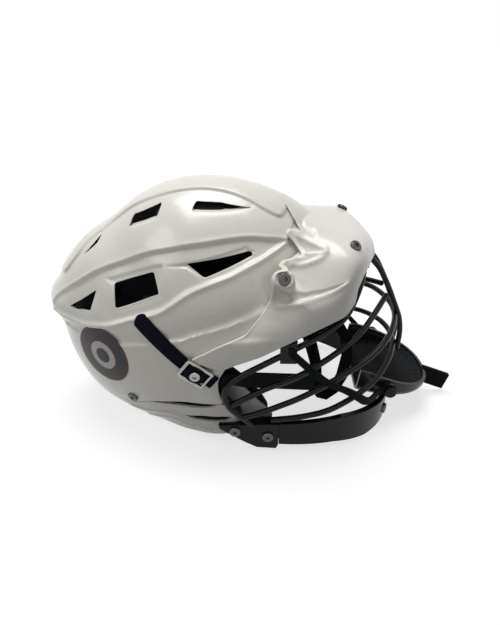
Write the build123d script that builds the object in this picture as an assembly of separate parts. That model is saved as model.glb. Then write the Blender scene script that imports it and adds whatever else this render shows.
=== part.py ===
from build123d import *
from math import copysign, cos, hypot, radians, sin, tan
import os

# A lacrosse helmet at rest on the floor, in millimetres.
# +X is the wearer's forward, +Y the wearer's left, +Z up.
# Side places are shares: x of shell_length from the shell's rearmost point,
# y of shell_half_width from the middle plane, z of shell_height from the floor.

# Shell form
shell_length = 270.0
shell_height = 230.0
shell_half_width = 100.0
shell_wall = 3.0
shell_rear_share = 0.685
shell_rear_x = -shell_length * shell_rear_share
form_power = 1.78
form_centre_shares = (0.574, 0.435)
form_slices = (-84, -74, -60, -45, -30, -15, 0, 15, 30, 45, 60, 74, 84)
crown_rise = 2.0
pocket_depth = 1.6
cut_reach = 300.0

# Clearances
seat_gap = 0.3
pin_gap = 0.1
run_share = 0.45
probe_reach = 60.0

# Visor
visor_wall = 3.0
visor_skirt = 40.0
visor_power = 2.3

# Lower guard and its lap under the shell
lap_wall = 2.4
lap_top_share = 0.235
lap_front_share = 0.33

# Face mask
wire_diameter = 5.4
upright_half_gap = 10.0
front_clip_half_length = 15.0
side_clip_inner_y = 88.0

# Chin guard
chin_wall = 5.0
chin_height_share = 0.16
chin_power = 2.4
bracket_outer_y = 95.0
bracket_wall = 11.0

# Chin cup
cup_half_width = 47.0
cup_half_length = 54.0
cup_power = 2.3
cup_wall = 3.0
cup_height = 27.0
cup_floor_z = 26.0
cup_round = 9.0
cup_tilt = 8.0
cup_pin_radius = 3.0
cup_pin_head_radius = 5.5
cup_pin_head_height = 2.0
cup_boss_radius = 6.5
cup_liner_wall = 2.5
cup_tab_thickness = 4.0

# Pads
pad_thickness = 11.0
front_pad_half_width = 55.0
crown_pad_half_width = 42.0
back_pad_half_width = 48.0
side_pad_inner_share = 0.55
jaw_pad_thickness = 12.0
jaw_plate_thickness = 2.5
jaw_plate_outer_y = 82.0

# Rear fit plate
plate_wall = 2.6
plate_inset = 9.0
plate_pad_thickness = 7.0
plate_half_width = 46.0
plate_pin_radius = 2.0
plate_ear_radius = 5.5
plate_ear_width = 6.0
plate_ear_wall = 5.0
plate_ear_drop = 12.0
plate_ear_y = 20.0
hinge_block_width = 5.0

# Buckles and straps at the sides
strap_width = 13.5
strap_thickness = 1.8
buckle_length = 26.5
buckle_width = 19.6
buckle_bar = 2.6
buckle_slope = 37.0
loop_height = 5.5
rivet_head_radius = 4.5
rivet_head_height = 1.6
rivet_shank_radius = 2.0
band_thickness = 2.0
bar_lift = 0.9
loop_foot = 4.0
band_length = 92.0
band_width = 18.0
chin_strap_width = 8.0
chin_strap_thickness = 2.2
inner_strap_thickness = 2.2
inner_strap_outer_y = 52.0

# Screws
screw_head_radius = 5.2
screw_head_height = 2.2
screw_shank_radius = 2.2
screw_shank_length = 10.5
visor_shank_length = 9.0
nut_gap = 0.9
stud_shank_length = 4.0
nut_radius = 5.5
nut_height = 2.6
socket_radius = 1.9
socket_depth = 1.3
temple_screw_direction = (0.385, 0.809, 0.444)
guard_screw_direction = (-0.457, 0.83, -0.319)
front_screw_direction = (0.462, 0.444, 0.767)
stud_direction = (0.909, 0.416, 0.0)
sideways = (0.0, 1.0, 0.0)

# Side roundels
roundel_half_length = 25.0
roundel_half_height = 29.0
roundel_thickness = 0.5

# Outlines seen from the side, as shares of shell_length and shell_height
profile_shares = (
    (1.0, 0.435), (0.970, 0.704), (0.907, 0.826), (0.811, 0.917), (0.696, 0.974), (0.574, 1.0),
    (0.448, 0.991), (0.330, 0.935), (0.226, 0.843), (0.111, 0.748), (0.022, 0.609), (0.0, 0.435),
    (0.019, 0.261), (0.081, 0.100), (0.189, -0.017), (0.304, -0.096), (0.419, -0.248),
    (0.574, -0.391), (0.752, -0.343), (0.870, -0.170), (0.959, 0.174), (0.981, 0.330),
)
shell_outline_shares = (
    (-0.167, 0.13), (0.148, 0.13), (0.27, 0.143), (0.352, 0.204), (0.456, 0.235), (0.57, 0.248),
    (0.604, 0.248), (0.589, 0.313), (0.589, 0.374), (0.626, 0.452), (0.73, 0.522), (0.841, 0.591),
    (0.915, 0.652), (0.996, 0.687), (1.167, 0.696), (1.167, 1.174), (-0.167, 1.174),
)
guard_outline_shares = (
    (-0.167, 0.1285), (0.148, 0.1285), (0.27, 0.1415), (0.344, 0.195), (0.407, 0.202), (0.5, 0.209),
    (0.563, 0.226), (0.585, 0.2465), (0.605, 0.2465), (0.656, 0.157), (0.7, 0.061), (0.685, 0.061),
    (0.5, 0.043), (0.259, 0.0), (-0.167, 0.0),
)
guard_slot_shares = (
    (0.463, 0.143), (0.507, 0.13), (0.611, 0.143), (0.633, 0.165), (0.604, 0.174), (0.537, 0.17),
)
visor_outline_shares = (
    (0.525, 0.472), (0.57, 0.509), (0.637, 0.548), (0.685, 0.591), (0.73, 0.635), (0.748, 0.678),
    (0.752, 0.739), (0.807, 0.774), (0.848, 0.796), (0.807, 0.848), (0.856, 0.852), (0.819, 0.904),
    (0.796, 0.939), (0.774, 1.174), (1.241, 1.174), (1.241, 0.722), (1.07, 0.739), (1.048, 0.726),
    (1.026, 0.687), (1.022, 0.635), (0.993, 0.604), (0.941, 0.591), (0.844, 0.552), (0.722, 0.483),
    (0.6, 0.43),
)
# Each row is x, half-width, lower edge and top of the visor at that place
visor_section_shares = (
    (0.463, 1.033, 0.39, 1.012), (0.6, 1.02, 0.39, 1.012), (0.722, 1.0, 0.457, 0.985),
    (0.844, 0.95, 0.522, 0.918), (0.937, 0.86, 0.565, 0.885), (0.985, 0.79, 0.596, 0.87),
    (1.022, 0.675, 0.652, 0.857), (1.048, 0.56, 0.713, 0.843), (1.07, 0.445, 0.73, 0.826),
    (1.085, 0.33, 0.73, 0.804), (1.1, 0.16, 0.73, 0.774),
)
arch_steps = 8
crown_band_shares = (
    (-0.167, 0.61), (0.0776, 0.674), (0.107, 0.722), (0.141, 0.765), (0.27, 0.887), (0.363, 0.948),
    (0.463, 0.983), (0.559, 0.991), (0.655, 0.97), (0.759, 0.913), (0.79, 1.0), (0.79, 1.174),
    (-0.167, 1.174),
)
pocket_shares = (
    (0.085, 0.609), (0.196, 0.704), (0.322, 0.778), (0.455, 0.83), (0.6, 0.852), (0.692, 0.8565),
    (0.8, 0.83), (0.692, 0.809), (0.5405, 0.704), (0.359, 0.609), (0.322, 0.583), (0.2035, 0.535),
    (0.111, 0.509), (0.044, 0.496), (0.048, 0.548),
)
top_vent_shares = (
    ((0.507, 0.939), (0.519, 0.965), (0.596, 0.961), (0.693, 0.939), (0.596, 0.937)),
    ((0.3, 0.861), (0.315, 0.9), (0.411, 0.952), (0.396, 0.909)),
    ((0.133, 0.735), (0.196, 0.809), (0.181, 0.778)),
)
side_vent_shares = (
    ((0.496, 0.791), (0.689, 0.822), (0.7, 0.809), (0.552, 0.748)),
    ((0.259, 0.687), (0.393, 0.752), (0.411, 0.683), (0.263, 0.604)),
    ((0.081, 0.548), (0.193, 0.648), (0.167, 0.565), (0.104, 0.543)),
)
chin_outline_shares = (
    (0.79, 0.039), (0.981, 0.026), (1.1, 0.0), (1.296, 0.0), (1.296, 0.087), (1.185, 0.109),
    (1.119, 0.13), (1.004, 0.148), (0.79, 0.143),
)
bracket_outline_shares = (
    (0.585, 0.135), (0.589, 0.117), (0.67, 0.052), (0.715, 0.022), (0.781, 0.017), (0.7885, 0.039),
    (0.7885, 0.143), (0.752, 0.143),
)
jaw_plate_shares = (
    (0.609, 0.304), (0.667, 0.287), (0.737, 0.191), (0.767, 0.148), (0.763, 0.083), (0.706, 0.061),
    (0.6585, 0.16), (0.609, 0.252),
)
jaw_pad_shares = (
    (0.5, 0.42), (0.6, 0.37), (0.66, 0.31), (0.72, 0.23), (0.75, 0.16), (0.74, 0.09),
    (0.69, 0.065), (0.58, 0.08), (0.52, 0.14), (0.48, 0.26),
)
strap_tail_shares = (
    (0.5061, 0.4639), (0.354, 0.63), (0.335, 0.640), (0.317, 0.623), (0.320, 0.587), (0.478, 0.4204),
)
strap_end_shares = ((0.5622, 0.4145), (0.593, 0.390), (0.563, 0.343), (0.5341, 0.3708))
band_shares = ((0.0, -0.5), (0.25, -0.85), (1.0, -0.95), (1.0, 0.95), (0.25, 0.85), (0.0, 0.5))
inner_strap_shares = (
    (0.819, 0.651), (0.856, 0.478), (0.896, 0.313), (0.907, 0.174), (0.93, 0.13), (0.967, 0.117),
    (1.004, 0.157), (1.033, 0.239), (1.044, 0.348), (1.026, 0.452), (0.989, 0.522), (0.952, 0.651),
    (0.915, 0.651), (0.952, 0.509), (0.993, 0.439), (1.004, 0.348), (0.993, 0.252), (0.974, 0.191),
    (0.952, 0.183), (0.944, 0.226), (0.937, 0.313), (0.9, 0.487), (0.863, 0.651),
)
cup_tab_shares = ((1.352, 0.056), (1.359, 0.139), (1.467, 0.091), (1.448, 0.013))
cup_side_shares = ((1.078, 0.08), (1.078, 0.226), (1.111, 0.226), (1.367, 0.1565), (1.39, 0.08))
liner_side_shares = ((1.085, 0.08), (1.085, 0.215), (1.111, 0.215), (1.367, 0.146), (1.39, 0.08))
clip_low_shares = ((0.785, 0.448), (0.837, 0.448), (0.837, 0.543), (0.785, 0.514))
clip_high_shares = ((0.785, 0.448), (0.837, 0.448), (0.837, 0.565), (0.785, 0.565))
front_clip_shares = ((1.041, 0.665), (1.093, 0.665), (1.093, 0.727), (1.048, 0.727), (1.041, 0.71))

# Extents of the linings along x and z
front_pad_x_shares = (0.759, 1.2)
front_pad_z_shares = (0.652, 0.891)
crown_pad_x_shares = (0.389, 0.722)
crown_pad_z_shares = (0.7, 1.1)
back_pad_x_shares = (-0.1, 0.315)
back_pad_z_shares = (0.365, 0.652)
side_pad_x_shares = (0.352, 0.648)
side_pad_z_shares = (0.44, 0.652)
jaw_flat_x_shares = (0.6, 1.0)
jaw_flat_z_shares = (0.0, 0.5)
plate_x_shares = (-0.1, 0.278)
plate_z_shares = (0.109, 0.302)
plate_pad_z_shares = (0.117, 0.27)

# Centres seen from the side; a middle number is a share of shell_half_width
plate_pin_shares = (0.072, 0.33)
buckle_shares = (0.5204, 0.4174)
roundel_shares = (0.2, 0.396)
temple_screw_shares = (0.77, 0.7, 0.735)
guard_screw_shares = (0.285, 0.73, 0.2)
front_screw_shares = (1.015, 0.45, 0.815)
stud_shares = (1.19, 0.42, 0.04)
bracket_screw_shares = ((0.64, 0.9, 0.106), (0.752, 0.9, 0.08))
band_start_shares = (0.604, 0.968, 0.375)
band_end_shares = (0.874, 0.7, 0.274)
cup_centre_share = 1.167
cup_pivot_shares = (1.19, 0.17)
chin_front_share = 1.2148
chin_centre_share = 0.76

# Wires, as shares of shell_length, shell_half_width and shell_height, for the left side
perimeter_shares = (
    (0.707, 0.92, 0.122), (0.667, 0.97, 0.183), (0.622, 1.005, 0.248), (0.607, 1.015, 0.309),
    (0.619, 1.015, 0.361), (0.663, 1.0, 0.4), (0.737, 0.965, 0.443), (0.844, 0.91, 0.504),
    (0.93, 0.83, 0.546), (0.993, 0.71, 0.574), (1.03, 0.56, 0.626), (1.056, 0.4, 0.674),
    (1.072, 0.2, 0.694),
)
upper_wire_shares = (
    (0.622, 1.0, 0.252), (0.681, 0.99, 0.291), (0.737, 0.975, 0.33), (0.796, 0.96, 0.357),
    (0.859, 0.92, 0.383), (0.933, 0.84, 0.422), (1.004, 0.71, 0.452), (1.059, 0.57, 0.474),
    (1.1, 0.41, 0.496), (1.133, 0.27, 0.517), (1.167, 0.12, 0.535),
)
middle_wire_shares = (
    (0.667, 0.97, 0.187), (0.719, 0.975, 0.209), (0.778, 0.965, 0.239), (0.856, 0.945, 0.278),
    (0.941, 0.9, 0.33), (1.015, 0.83, 0.37), (1.081, 0.73, 0.4), (1.133, 0.6, 0.426),
    (1.17, 0.44, 0.439), (1.196, 0.25, 0.443), (1.209, 0.09, 0.443),
)
lower_wire_shares = (
    (0.762, 0.92, 0.157), (0.856, 0.945, 0.181), (0.948, 0.92, 0.204), (1.015, 0.85, 0.23),
    (1.074, 0.755, 0.252), (1.126, 0.63, 0.274), (1.17, 0.46, 0.291), (1.2, 0.27, 0.304),
    (1.217, 0.1, 0.304),
)
upright_shares = (
    (1.067, 0.709), (1.1, 0.699), (1.133, 0.657), (1.167, 0.583), (1.197, 0.504), (1.228, 0.42),
    (1.238, 0.345), (1.235, 0.265),
)
chin_strap_shares = (
    (0.81, 0.985, 0.51), (0.93, 0.99, 0.37), (1.02, 0.92, 0.3), (1.085, 0.82, 0.215),
    (1.13, 0.62, 0.18), (1.15, 0.525, 0.172), (1.21, 0.525, 0.17),
)


def side_point(x_share, z_share):
    return shell_rear_x + x_share * shell_length, z_share * shell_height


def space_point(x_share, y_share, z_share, side=1):
    x, z = side_point(x_share, z_share)
    return x, side * y_share * shell_half_width, z


def form(offset):
    # The helmet's rounded form, grown or shrunk by offset: one side profile, drawn in towards the sides
    centre_x, centre_z = side_point(*form_centre_shares)
    slices = []
    for angle in form_slices:
        outward = abs(sin(radians(angle))) ** (2 / form_power)
        drawn_in = cos(radians(angle)) ** (2 / form_power)
        y = copysign(outward * (shell_half_width + offset), angle)
        points = []
        for share in profile_shares:
            x, z = side_point(*share)
            reach = hypot(x - centre_x, z - centre_z)
            grown = drawn_in * (reach + offset) / reach
            points.append((centre_x + grown * (x - centre_x), y, centre_z + grown * (z - centre_z)))
        slices.append(make_face(Spline(*points, periodic=True)))
    return loft(slices)


def side_prism(shares, low_y=-cut_reach, high_y=cut_reach):
    corners = []
    for share in shares:
        x, z = side_point(*share)
        corners.append((x, low_y, z))
    return extrude(make_face(Polyline(*corners, close=True)), high_y - low_y, dir=(0, 1, 0))


def block(x_shares, z_shares, low_y, high_y):
    low_x, low_z = side_point(x_shares[0], z_shares[0])
    high_x, high_z = side_point(x_shares[1], z_shares[1])
    middle = Pos((low_x + high_x) / 2, (low_y + high_y) / 2, (low_z + high_z) / 2)
    return middle * Box(high_x - low_x, high_y - low_y, high_z - low_z)


def seat(body, point, direction):
    # The outermost point of a body on a line through a point
    start = Vector(*point)
    run = Vector(*direction).normalized() * probe_reach
    chord = body & Line(start - run, start + run)
    return max((Vector(*vertex) for vertex in chord.vertices()), key=lambda end: (end - start).dot(run))


def corner_radii(points):
    radii = []
    for before, corner, after in zip(points[:-2], points[1:-1], points[2:]):
        inward = Vector(*corner) - Vector(*before)
        outward = Vector(*after) - Vector(*corner)
        half_turn = radians(inward.get_angle(outward) / 2)
        radii.append(run_share * min(inward.length, outward.length) / tan(half_turn))
    return radii


def rod(points, diameter):
    path = FilletPolyline(*points, radius=corner_radii(points))
    start = Plane(origin=path @ 0, z_dir=path % 0)
    return sweep(start * Circle(diameter / 2), path=path)


def both_sides(shares):
    right = [space_point(*share, side=-1) for share in shares]
    left = [space_point(*share) for share in reversed(shares)]
    return right + left


def make_shell(outer, inner, raised, sunken):
    # A raised band runs over the crown, and a sunken pocket round the vents at each side
    shell = (outer + (raised & side_prism(crown_band_shares)) - inner) & side_prism(shell_outline_shares)
    shell -= side_prism(pocket_shares) - sunken
    for vent in top_vent_shares + side_vent_shares:
        shell -= side_prism(vent)
    return shell


def make_lower_guard(outer, inner, lap_outer, lap_inner):
    guard = (outer - inner) & side_prism(guard_outline_shares)
    guard -= side_prism(guard_slot_shares)
    back_share, edge_share = guard_outline_shares[0]
    lap_x_shares = (back_share, lap_front_share)
    root = block(lap_x_shares, (edge_share / 2, edge_share), -cut_reach, cut_reach)
    tongue = block(lap_x_shares, (edge_share, lap_top_share), -cut_reach, cut_reach)
    return guard + ((inner - lap_inner) & root) + ((lap_outer - lap_inner) & tongue)


def visor_body(shrink, lowest_share):
    # Arched sections along the helmet, from the temples to the brim
    sections = []
    for x_share, width_share, edge_share, top_share in visor_section_shares:
        x, edge = side_point(x_share, edge_share)
        top = top_share * shell_height - shrink
        half_width = width_share * shell_half_width - shrink
        points = []
        for step in range(-arch_steps, arch_steps + 1):
            angle = radians(90 * step / arch_steps)
            y = copysign(half_width * abs(sin(angle)) ** (2 / visor_power), step)
            z = edge + (top - edge) * cos(angle) ** (2 / visor_power)
            points.append((x - shrink, y, z))
        floor = lowest_share * shell_height
        arch = Spline(*points)
        left_foot = (x - shrink, half_width, floor)
        right_foot = (x - shrink, -half_width, floor)
        skirt = Polyline(points[-1], left_foot, right_foot, points[0])
        sections.append(make_face(Wire([arch] + skirt.edges())))
    return loft(sections)


def make_visor(grown, clear, lowest_share):
    outline = side_prism(visor_outline_shares)
    outer = visor_body(0, lowest_share)
    inner = visor_body(visor_wall, lowest_share - seat_gap / shell_height)
    skin = (outer & outline) - inner
    temple = (grown - clear) & outline
    temple -= outer
    return skin - clear + temple


def make_mask_wires():
    perimeter = rod(both_sides(perimeter_shares), wire_diameter)
    middle = rod(both_sides(middle_wire_shares), wire_diameter)
    lower = rod(both_sides(lower_wire_shares), wire_diameter)
    upper = []
    uprights = []
    for side in (-1, 1):
        upper.append(rod([space_point(*share, side=side) for share in upper_wire_shares], wire_diameter))
        points = []
        for share in upright_shares:
            x, z = side_point(*share)
            points.append((x, side * upright_half_gap, z))
        uprights.append(rod(points, wire_diameter))
    return perimeter, middle, lower, upper, uprights


def plan_curve(centre_x, half_length, half_width, power, z, steps):
    # Half of a rounded plan outline, from its right end round the front to its left end
    points = []
    for step in range(-steps, steps + 1):
        angle = radians(90 * step / steps)
        y = copysign(half_width * abs(sin(angle)) ** (2 / power), step)
        points.append((centre_x + half_length * cos(angle) ** (2 / power), y, z))
    return points


def plan_slab(centre_x, half_length, half_width, power, low_z, height):
    points = plan_curve(centre_x, half_length, half_width, power, low_z, arch_steps)
    back = Line(points[-1], points[0])
    return extrude(make_face(Wire([Spline(*points), back])), height, dir=(0, 0, 1))


def make_chin_guard():
    front_x = side_point(chin_front_share, 0)[0]
    centre_x = side_point(chin_centre_share, 0)[0]
    back_x = side_point(*chin_outline_shares[0])[0]
    half_length = front_x - centre_x
    half_width = bracket_outer_y - seat_gap
    height = shell_height * chin_height_share
    outer = plan_slab(centre_x, half_length, half_width, chin_power, 0, height)
    inner = plan_slab(centre_x, half_length - chin_wall, half_width - chin_wall, chin_power, 0, height)
    return (outer - inner) & side_prism(chin_outline_shares)


def make_bracket(clear, perimeter):
    bracket = side_prism(bracket_outline_shares, bracket_outer_y - bracket_wall, bracket_outer_y)
    return (bracket - clear - perimeter).solids().sort_by(SortBy.VOLUME)[-1]


def make_side_clip(inside_visor, perimeter):
    outer_y = chin_strap_shares[0][1] * shell_half_width - chin_strap_thickness / 2 - seat_gap
    low = side_prism(clip_low_shares, side_clip_inner_y, outer_y)
    high = side_prism(clip_high_shares, side_clip_inner_y, outer_y) & inside_visor
    return (low + high - perimeter).solids().sort_by(SortBy.VOLUME)[-1]


def make_front_clip(wires):
    clip = side_prism(front_clip_shares, -front_clip_half_length, front_clip_half_length)
    for wire in wires:
        clip -= wire
    return clip.solids().sort_by(SortBy.VOLUME)[-1]


def make_pads(outer, inner):
    layer = outer - inner
    pads = {}
    pads["front_pad"] = layer & block(
        front_pad_x_shares, front_pad_z_shares, -front_pad_half_width, front_pad_half_width
    )
    pads["crown_pad"] = layer & block(
        crown_pad_x_shares, crown_pad_z_shares, -crown_pad_half_width, crown_pad_half_width
    )
    pads["back_pad"] = layer & block(
        back_pad_x_shares, back_pad_z_shares, -back_pad_half_width, back_pad_half_width
    )
    low_y = side_pad_inner_share * shell_half_width
    pads["side_pad_left"] = layer & block(side_pad_x_shares, side_pad_z_shares, low_y, cut_reach)
    pads["side_pad_right"] = mirror(pads["side_pad_left"], Plane.XZ)
    return pads


def make_jaw_plate():
    return side_prism(jaw_plate_shares, jaw_plate_outer_y - jaw_plate_thickness, jaw_plate_outer_y)


def make_jaw_pad(inside):
    flat_y = jaw_plate_outer_y - jaw_plate_thickness - seat_gap
    pad = side_prism(jaw_pad_shares, flat_y - jaw_pad_thickness, shell_half_width) & inside
    return pad - block(jaw_flat_x_shares, jaw_flat_z_shares, flat_y, cut_reach)


def across(radius, x, z, low_y, high_y):
    # A round bar along the width of the helmet
    bar = Cylinder(radius, high_y - low_y, align=(Align.CENTER, Align.CENTER, Align.MIN))
    return Pos(x, low_y, z) * Rot(-90, 0, 0) * bar


def make_fit_plate(outer, inner, inside):
    pin_x, pin_z = side_point(*plate_pin_shares)
    plate = (outer - inner) & block(plate_x_shares, plate_z_shares, -plate_half_width, plate_half_width)
    blocks = []
    for side in (-1, 1):
        ear_y = side * plate_ear_y
        ear_low_y = ear_y - plate_ear_width / 2
        plate += across(plate_ear_radius, pin_x, pin_z, ear_low_y, ear_low_y + plate_ear_width)
        plate += Pos(pin_x, ear_y, pin_z - plate_ear_drop / 2) * Box(
            plate_ear_wall, plate_ear_width, plate_ear_drop
        )
        block_y = side * (plate_ear_y + plate_ear_width / 2 + seat_gap + hinge_block_width / 2)
        low_y = block_y - hinge_block_width / 2
        high_y = block_y + hinge_block_width / 2
        lug = across(plate_ear_radius, pin_x, pin_z, low_y, high_y)
        lug += Pos(pin_x - shell_length / 2, block_y, pin_z) * Box(
            shell_length, hinge_block_width, 2 * plate_ear_radius
        )
        blocks.append((lug & inside) - across(plate_pin_radius, pin_x, pin_z, -cut_reach, cut_reach))
    plate -= across(plate_pin_radius + pin_gap, pin_x, pin_z, -cut_reach, cut_reach)
    reach = plate_ear_y + plate_ear_width / 2 + seat_gap + hinge_block_width
    pin = across(plate_pin_radius, pin_x, pin_z, -reach, reach)
    return plate, blocks, pin


def buckle_plane(lift):
    # The right-hand buckle's own plane: x along the strap towards the face, z out of the shell
    x, z = side_point(*buckle_shares)
    slope = radians(buckle_slope)
    origin = (x, -(buckle_y + lift), z)
    return Plane(origin=origin, x_dir=(cos(slope), 0, -sin(slope)), z_dir=(0, -1, 0))


def make_buckle():
    # A wire frame whose front bar is round, for it turns about that bar
    lift = seat_gap + strap_thickness + bar_lift
    window_length = buckle_length - 2 * buckle_bar
    window_width = buckle_width - 2 * buckle_bar
    outline = RectangleRounded(buckle_length, buckle_width, buckle_bar)
    frame = extrude(outline - Rectangle(window_length, window_width), buckle_bar)
    bar_x = (buckle_length - buckle_bar) / 2
    frame -= Pos(bar_x, 0, buckle_bar / 2) * Box(buckle_bar, window_width, buckle_bar)
    pivot_bar = Pos(bar_x, 0, buckle_bar / 2) * Rot(90, 0, 0) * Cylinder(buckle_bar / 2, window_width)
    return buckle_plane(lift) * (frame + pivot_bar)


def make_loop():
    # The strap bulges out through the buckle's window
    half_length = buckle_length / 2 - buckle_bar - seat_gap
    over = ThreePointArc(
        (-half_length, strap_thickness), (0, loop_height + strap_thickness), (half_length, strap_thickness)
    )
    front = Line((half_length, strap_thickness), (half_length, -loop_foot))
    front_foot = Line((half_length, -loop_foot), (half_length - strap_thickness, -loop_foot))
    half_under = half_length - strap_thickness
    under = ThreePointArc((half_under, 0), (0, loop_height), (-half_under, 0))
    front_inner = Line((half_length - strap_thickness, -loop_foot), (half_length - strap_thickness, 0))
    back_inner = Line((strap_thickness - half_length, 0), (strap_thickness - half_length, -loop_foot))
    back_foot = Line((strap_thickness - half_length, -loop_foot), (-half_length, -loop_foot))
    back = Line((-half_length, -loop_foot), (-half_length, strap_thickness))
    edges = [over, front, front_foot, front_inner, under, back_inner, back_foot, back]
    arch = extrude(make_face(Wire(edges)), strap_width / 2, both=True)
    return buckle_plane(seat_gap) * (Rot(90, 0, 0) * arch)


def make_strap(grown, clear):
    outline = side_prism(strap_tail_shares, -cut_reach, 0) + side_prism(strap_end_shares, -cut_reach, 0)
    return (grown & outline) + make_loop() - clear


def make_band():
    # From the shell's edge, behind the edge wire and across the jaw plate
    start = Vector(*space_point(*band_start_shares, side=-1))
    run = Vector(*space_point(*band_end_shares, side=-1)) - start
    outward = run.cross(Vector(0, 0, 1)).normalized()
    corners = [(band_length * along, band_width / 2 * high) for along, high in band_shares]
    flat = extrude(make_face(Polyline(*corners, close=True)), band_thickness / 2, both=True)
    return Plane(origin=start, x_dir=run, z_dir=outward) * flat


def make_chin_strap():
    # Its width runs in the side view and its thickness in the plan view
    points = [space_point(*share, side=-1) for share in chin_strap_shares]
    seen_from_side = [(x, z, 0) for x, y, z in points]
    seen_from_above = [(x, y, 0) for x, y, z in points]
    side_path = FilletPolyline(*seen_from_side, radius=corner_radii(seen_from_side))
    plan_path = FilletPolyline(*seen_from_above, radius=corner_radii(seen_from_above))
    across_face = Plane.XZ * trace(side_path, chin_strap_width)
    upright_sheet = extrude(trace(plan_path, chin_strap_thickness), cut_reach)
    return extrude(across_face, cut_reach) & upright_sheet


def cup_solid(inset, round_radius):
    centre_x = side_point(cup_centre_share, 0)[0]
    solid = plan_loop(
        centre_x, cup_half_length - inset, cup_half_width - inset, cup_floor_z + inset, cup_height
    )
    return fillet(solid.edges().group_by(Axis.Z)[0], round_radius)


def make_cup():
    pivot_x, pivot_z = side_point(*cup_pivot_shares)
    hollow = cup_solid(cup_wall, cup_round - cup_wall)
    shaped = (cup_solid(0, cup_round) - hollow) & side_prism(cup_side_shares)
    liner_inset = cup_wall + seat_gap
    liner = cup_solid(liner_inset, cup_round - cup_wall)
    liner -= cup_solid(liner_inset + cup_liner_wall, cup_round - cup_wall)
    liner &= side_prism(liner_side_shares)
    turn = Pos(pivot_x, 0, pivot_z) * Rot(0, cup_tilt, 0) * Pos(-pivot_x, 0, -pivot_z)
    cup = turn * shaped
    inner_y = cup_half_width - cup_wall / 2
    boss_y = chin_strap_shares[-1][1] * shell_half_width - chin_strap_thickness / 2 - seat_gap
    for low_y, high_y in ((inner_y, boss_y), (-boss_y, -inner_y)):
        cup += across(cup_boss_radius, pivot_x, pivot_z, low_y, high_y)
    tab = side_prism(cup_tab_shares, -cup_tab_thickness / 2, cup_tab_thickness / 2) - cup
    return cup, turn * liner, tab.solids().sort_by(SortBy.VOLUME)[-1]


def make_cup_pin():
    pivot_x, pivot_z = side_point(*cup_pivot_shares)
    strap_y = chin_strap_shares[-1][1] * shell_half_width + chin_strap_thickness / 2 + seat_gap
    low_y = cup_half_width - cup_wall + seat_gap
    pin = across(cup_pin_radius, pivot_x, pivot_z, low_y, strap_y)
    return pin + across(cup_pin_head_radius, pivot_x, pivot_z, strap_y, strap_y + cup_pin_head_height)


def plan_loop(centre_x, half_length, half_width, low_z, height):
    front = plan_curve(centre_x, half_length, half_width, cup_power, low_z, arch_steps)
    back = [(2 * centre_x - x, y, z) for x, y, z in reversed(front[1:-1])]
    return extrude(make_face(Spline(*front, *back, periodic=True)), height, dir=(0, 0, 1))


def screw(head_radius, head_height, shank_radius, shank_length):
    head = Cylinder(head_radius, head_height, align=(Align.CENTER, Align.CENTER, Align.MIN))
    head = fillet(head.edges().group_by(Axis.Z)[-1], head_height / 2)
    socket = Cylinder(socket_radius, head_height, align=(Align.CENTER, Align.CENTER, Align.MIN))
    shank = Cylinder(shank_radius, shank_length, align=(Align.CENTER, Align.CENTER, Align.MAX))
    return head - Pos(0, 0, head_height - socket_depth) * socket + shank


def make_nut():
    nut = extrude(RegularPolygon(nut_radius, 6), -nut_height)
    return nut - Cylinder(screw_shank_radius + pin_gap, 2 * nut_height)


def bore(plane):
    # A clear hole for a screw's shank and a flat seat for its head
    hole = Cylinder(screw_shank_radius + pin_gap, probe_reach / 2)
    above = (Align.CENTER, Align.CENTER, Align.MIN)
    pocket = Cylinder(screw_head_radius + seat_gap, probe_reach / 4, align=above)
    return plane * (hole + pocket)


def screw_plane(body, shares, direction):
    # The plane of a screw's head where its line meets the body, on the left side
    return Plane(origin=seat(body, space_point(*shares), direction), z_dir=direction)


def solids_of(shapes):
    found = []
    for shape in shapes:
        found.extend(shape.solids())
    return found


def save(name, *shapes):
    moved = [Pos(-middle_x, 0, 0) * solid for solid in solids_of(shapes)]
    export_step(Compound(children=moved) if len(moved) > 1 else moved[0], "parts/" + name + ".step")
    print(name, len(moved), round(sum(solid.volume for solid in moved)))


def mirrored(shapes):
    return [mirror(solid, Plane.XZ) for solid in solids_of(shapes)]


def save_sides(name, right):
    save(name + "_right", *right)
    save(name + "_left", *mirrored(right))


os.makedirs("parts", exist_ok=True)

shell_outer = form(0)
shell_inner = form(-shell_wall)
inside = form(-shell_wall - seat_gap)
clear = form(seat_gap)
visor_grown = form(seat_gap + visor_wall)
strap_grown = form(seat_gap + strap_thickness)
lap_inner = form(-shell_wall - seat_gap - lap_wall)
pad_inner = form(-shell_wall - seat_gap - pad_thickness)
plate_outer = form(-shell_wall - plate_inset)
plate_inner = form(-shell_wall - plate_inset - plate_wall)
plate_pad_outer = form(-shell_wall - plate_inset - plate_wall - seat_gap)
plate_pad_inner = form(-shell_wall - plate_inset - plate_wall - seat_gap - plate_pad_thickness)
roundel_grown = form(seat_gap / 2 + roundel_thickness)
roundel_clear = form(seat_gap / 2)
print("forms made")

middle_x = (shell_rear_x + side_point(*cup_tab_shares[2])[0]) / 2
buckle_x, buckle_z = side_point(*buckle_shares)
buckle_y = seat(shell_outer, (buckle_x, shell_half_width, buckle_z), sideways).Y
pivot_x, pivot_z = side_point(*cup_pivot_shares)

shell = make_shell(shell_outer, shell_inner, form(crown_rise), form(-pocket_depth))
lower_guard = make_lower_guard(shell_outer, shell_inner, inside, lap_inner)
visor_floor_share = visor_outline_shares[0][1] - visor_skirt / shell_height
visor = make_visor(visor_grown, clear, visor_floor_share)
inside_visor = visor_body(visor_wall + seat_gap, visor_floor_share)
perimeter, middle, lower, upper, uprights = make_mask_wires()
chin_guard = make_chin_guard()
print("large pieces made")

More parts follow.
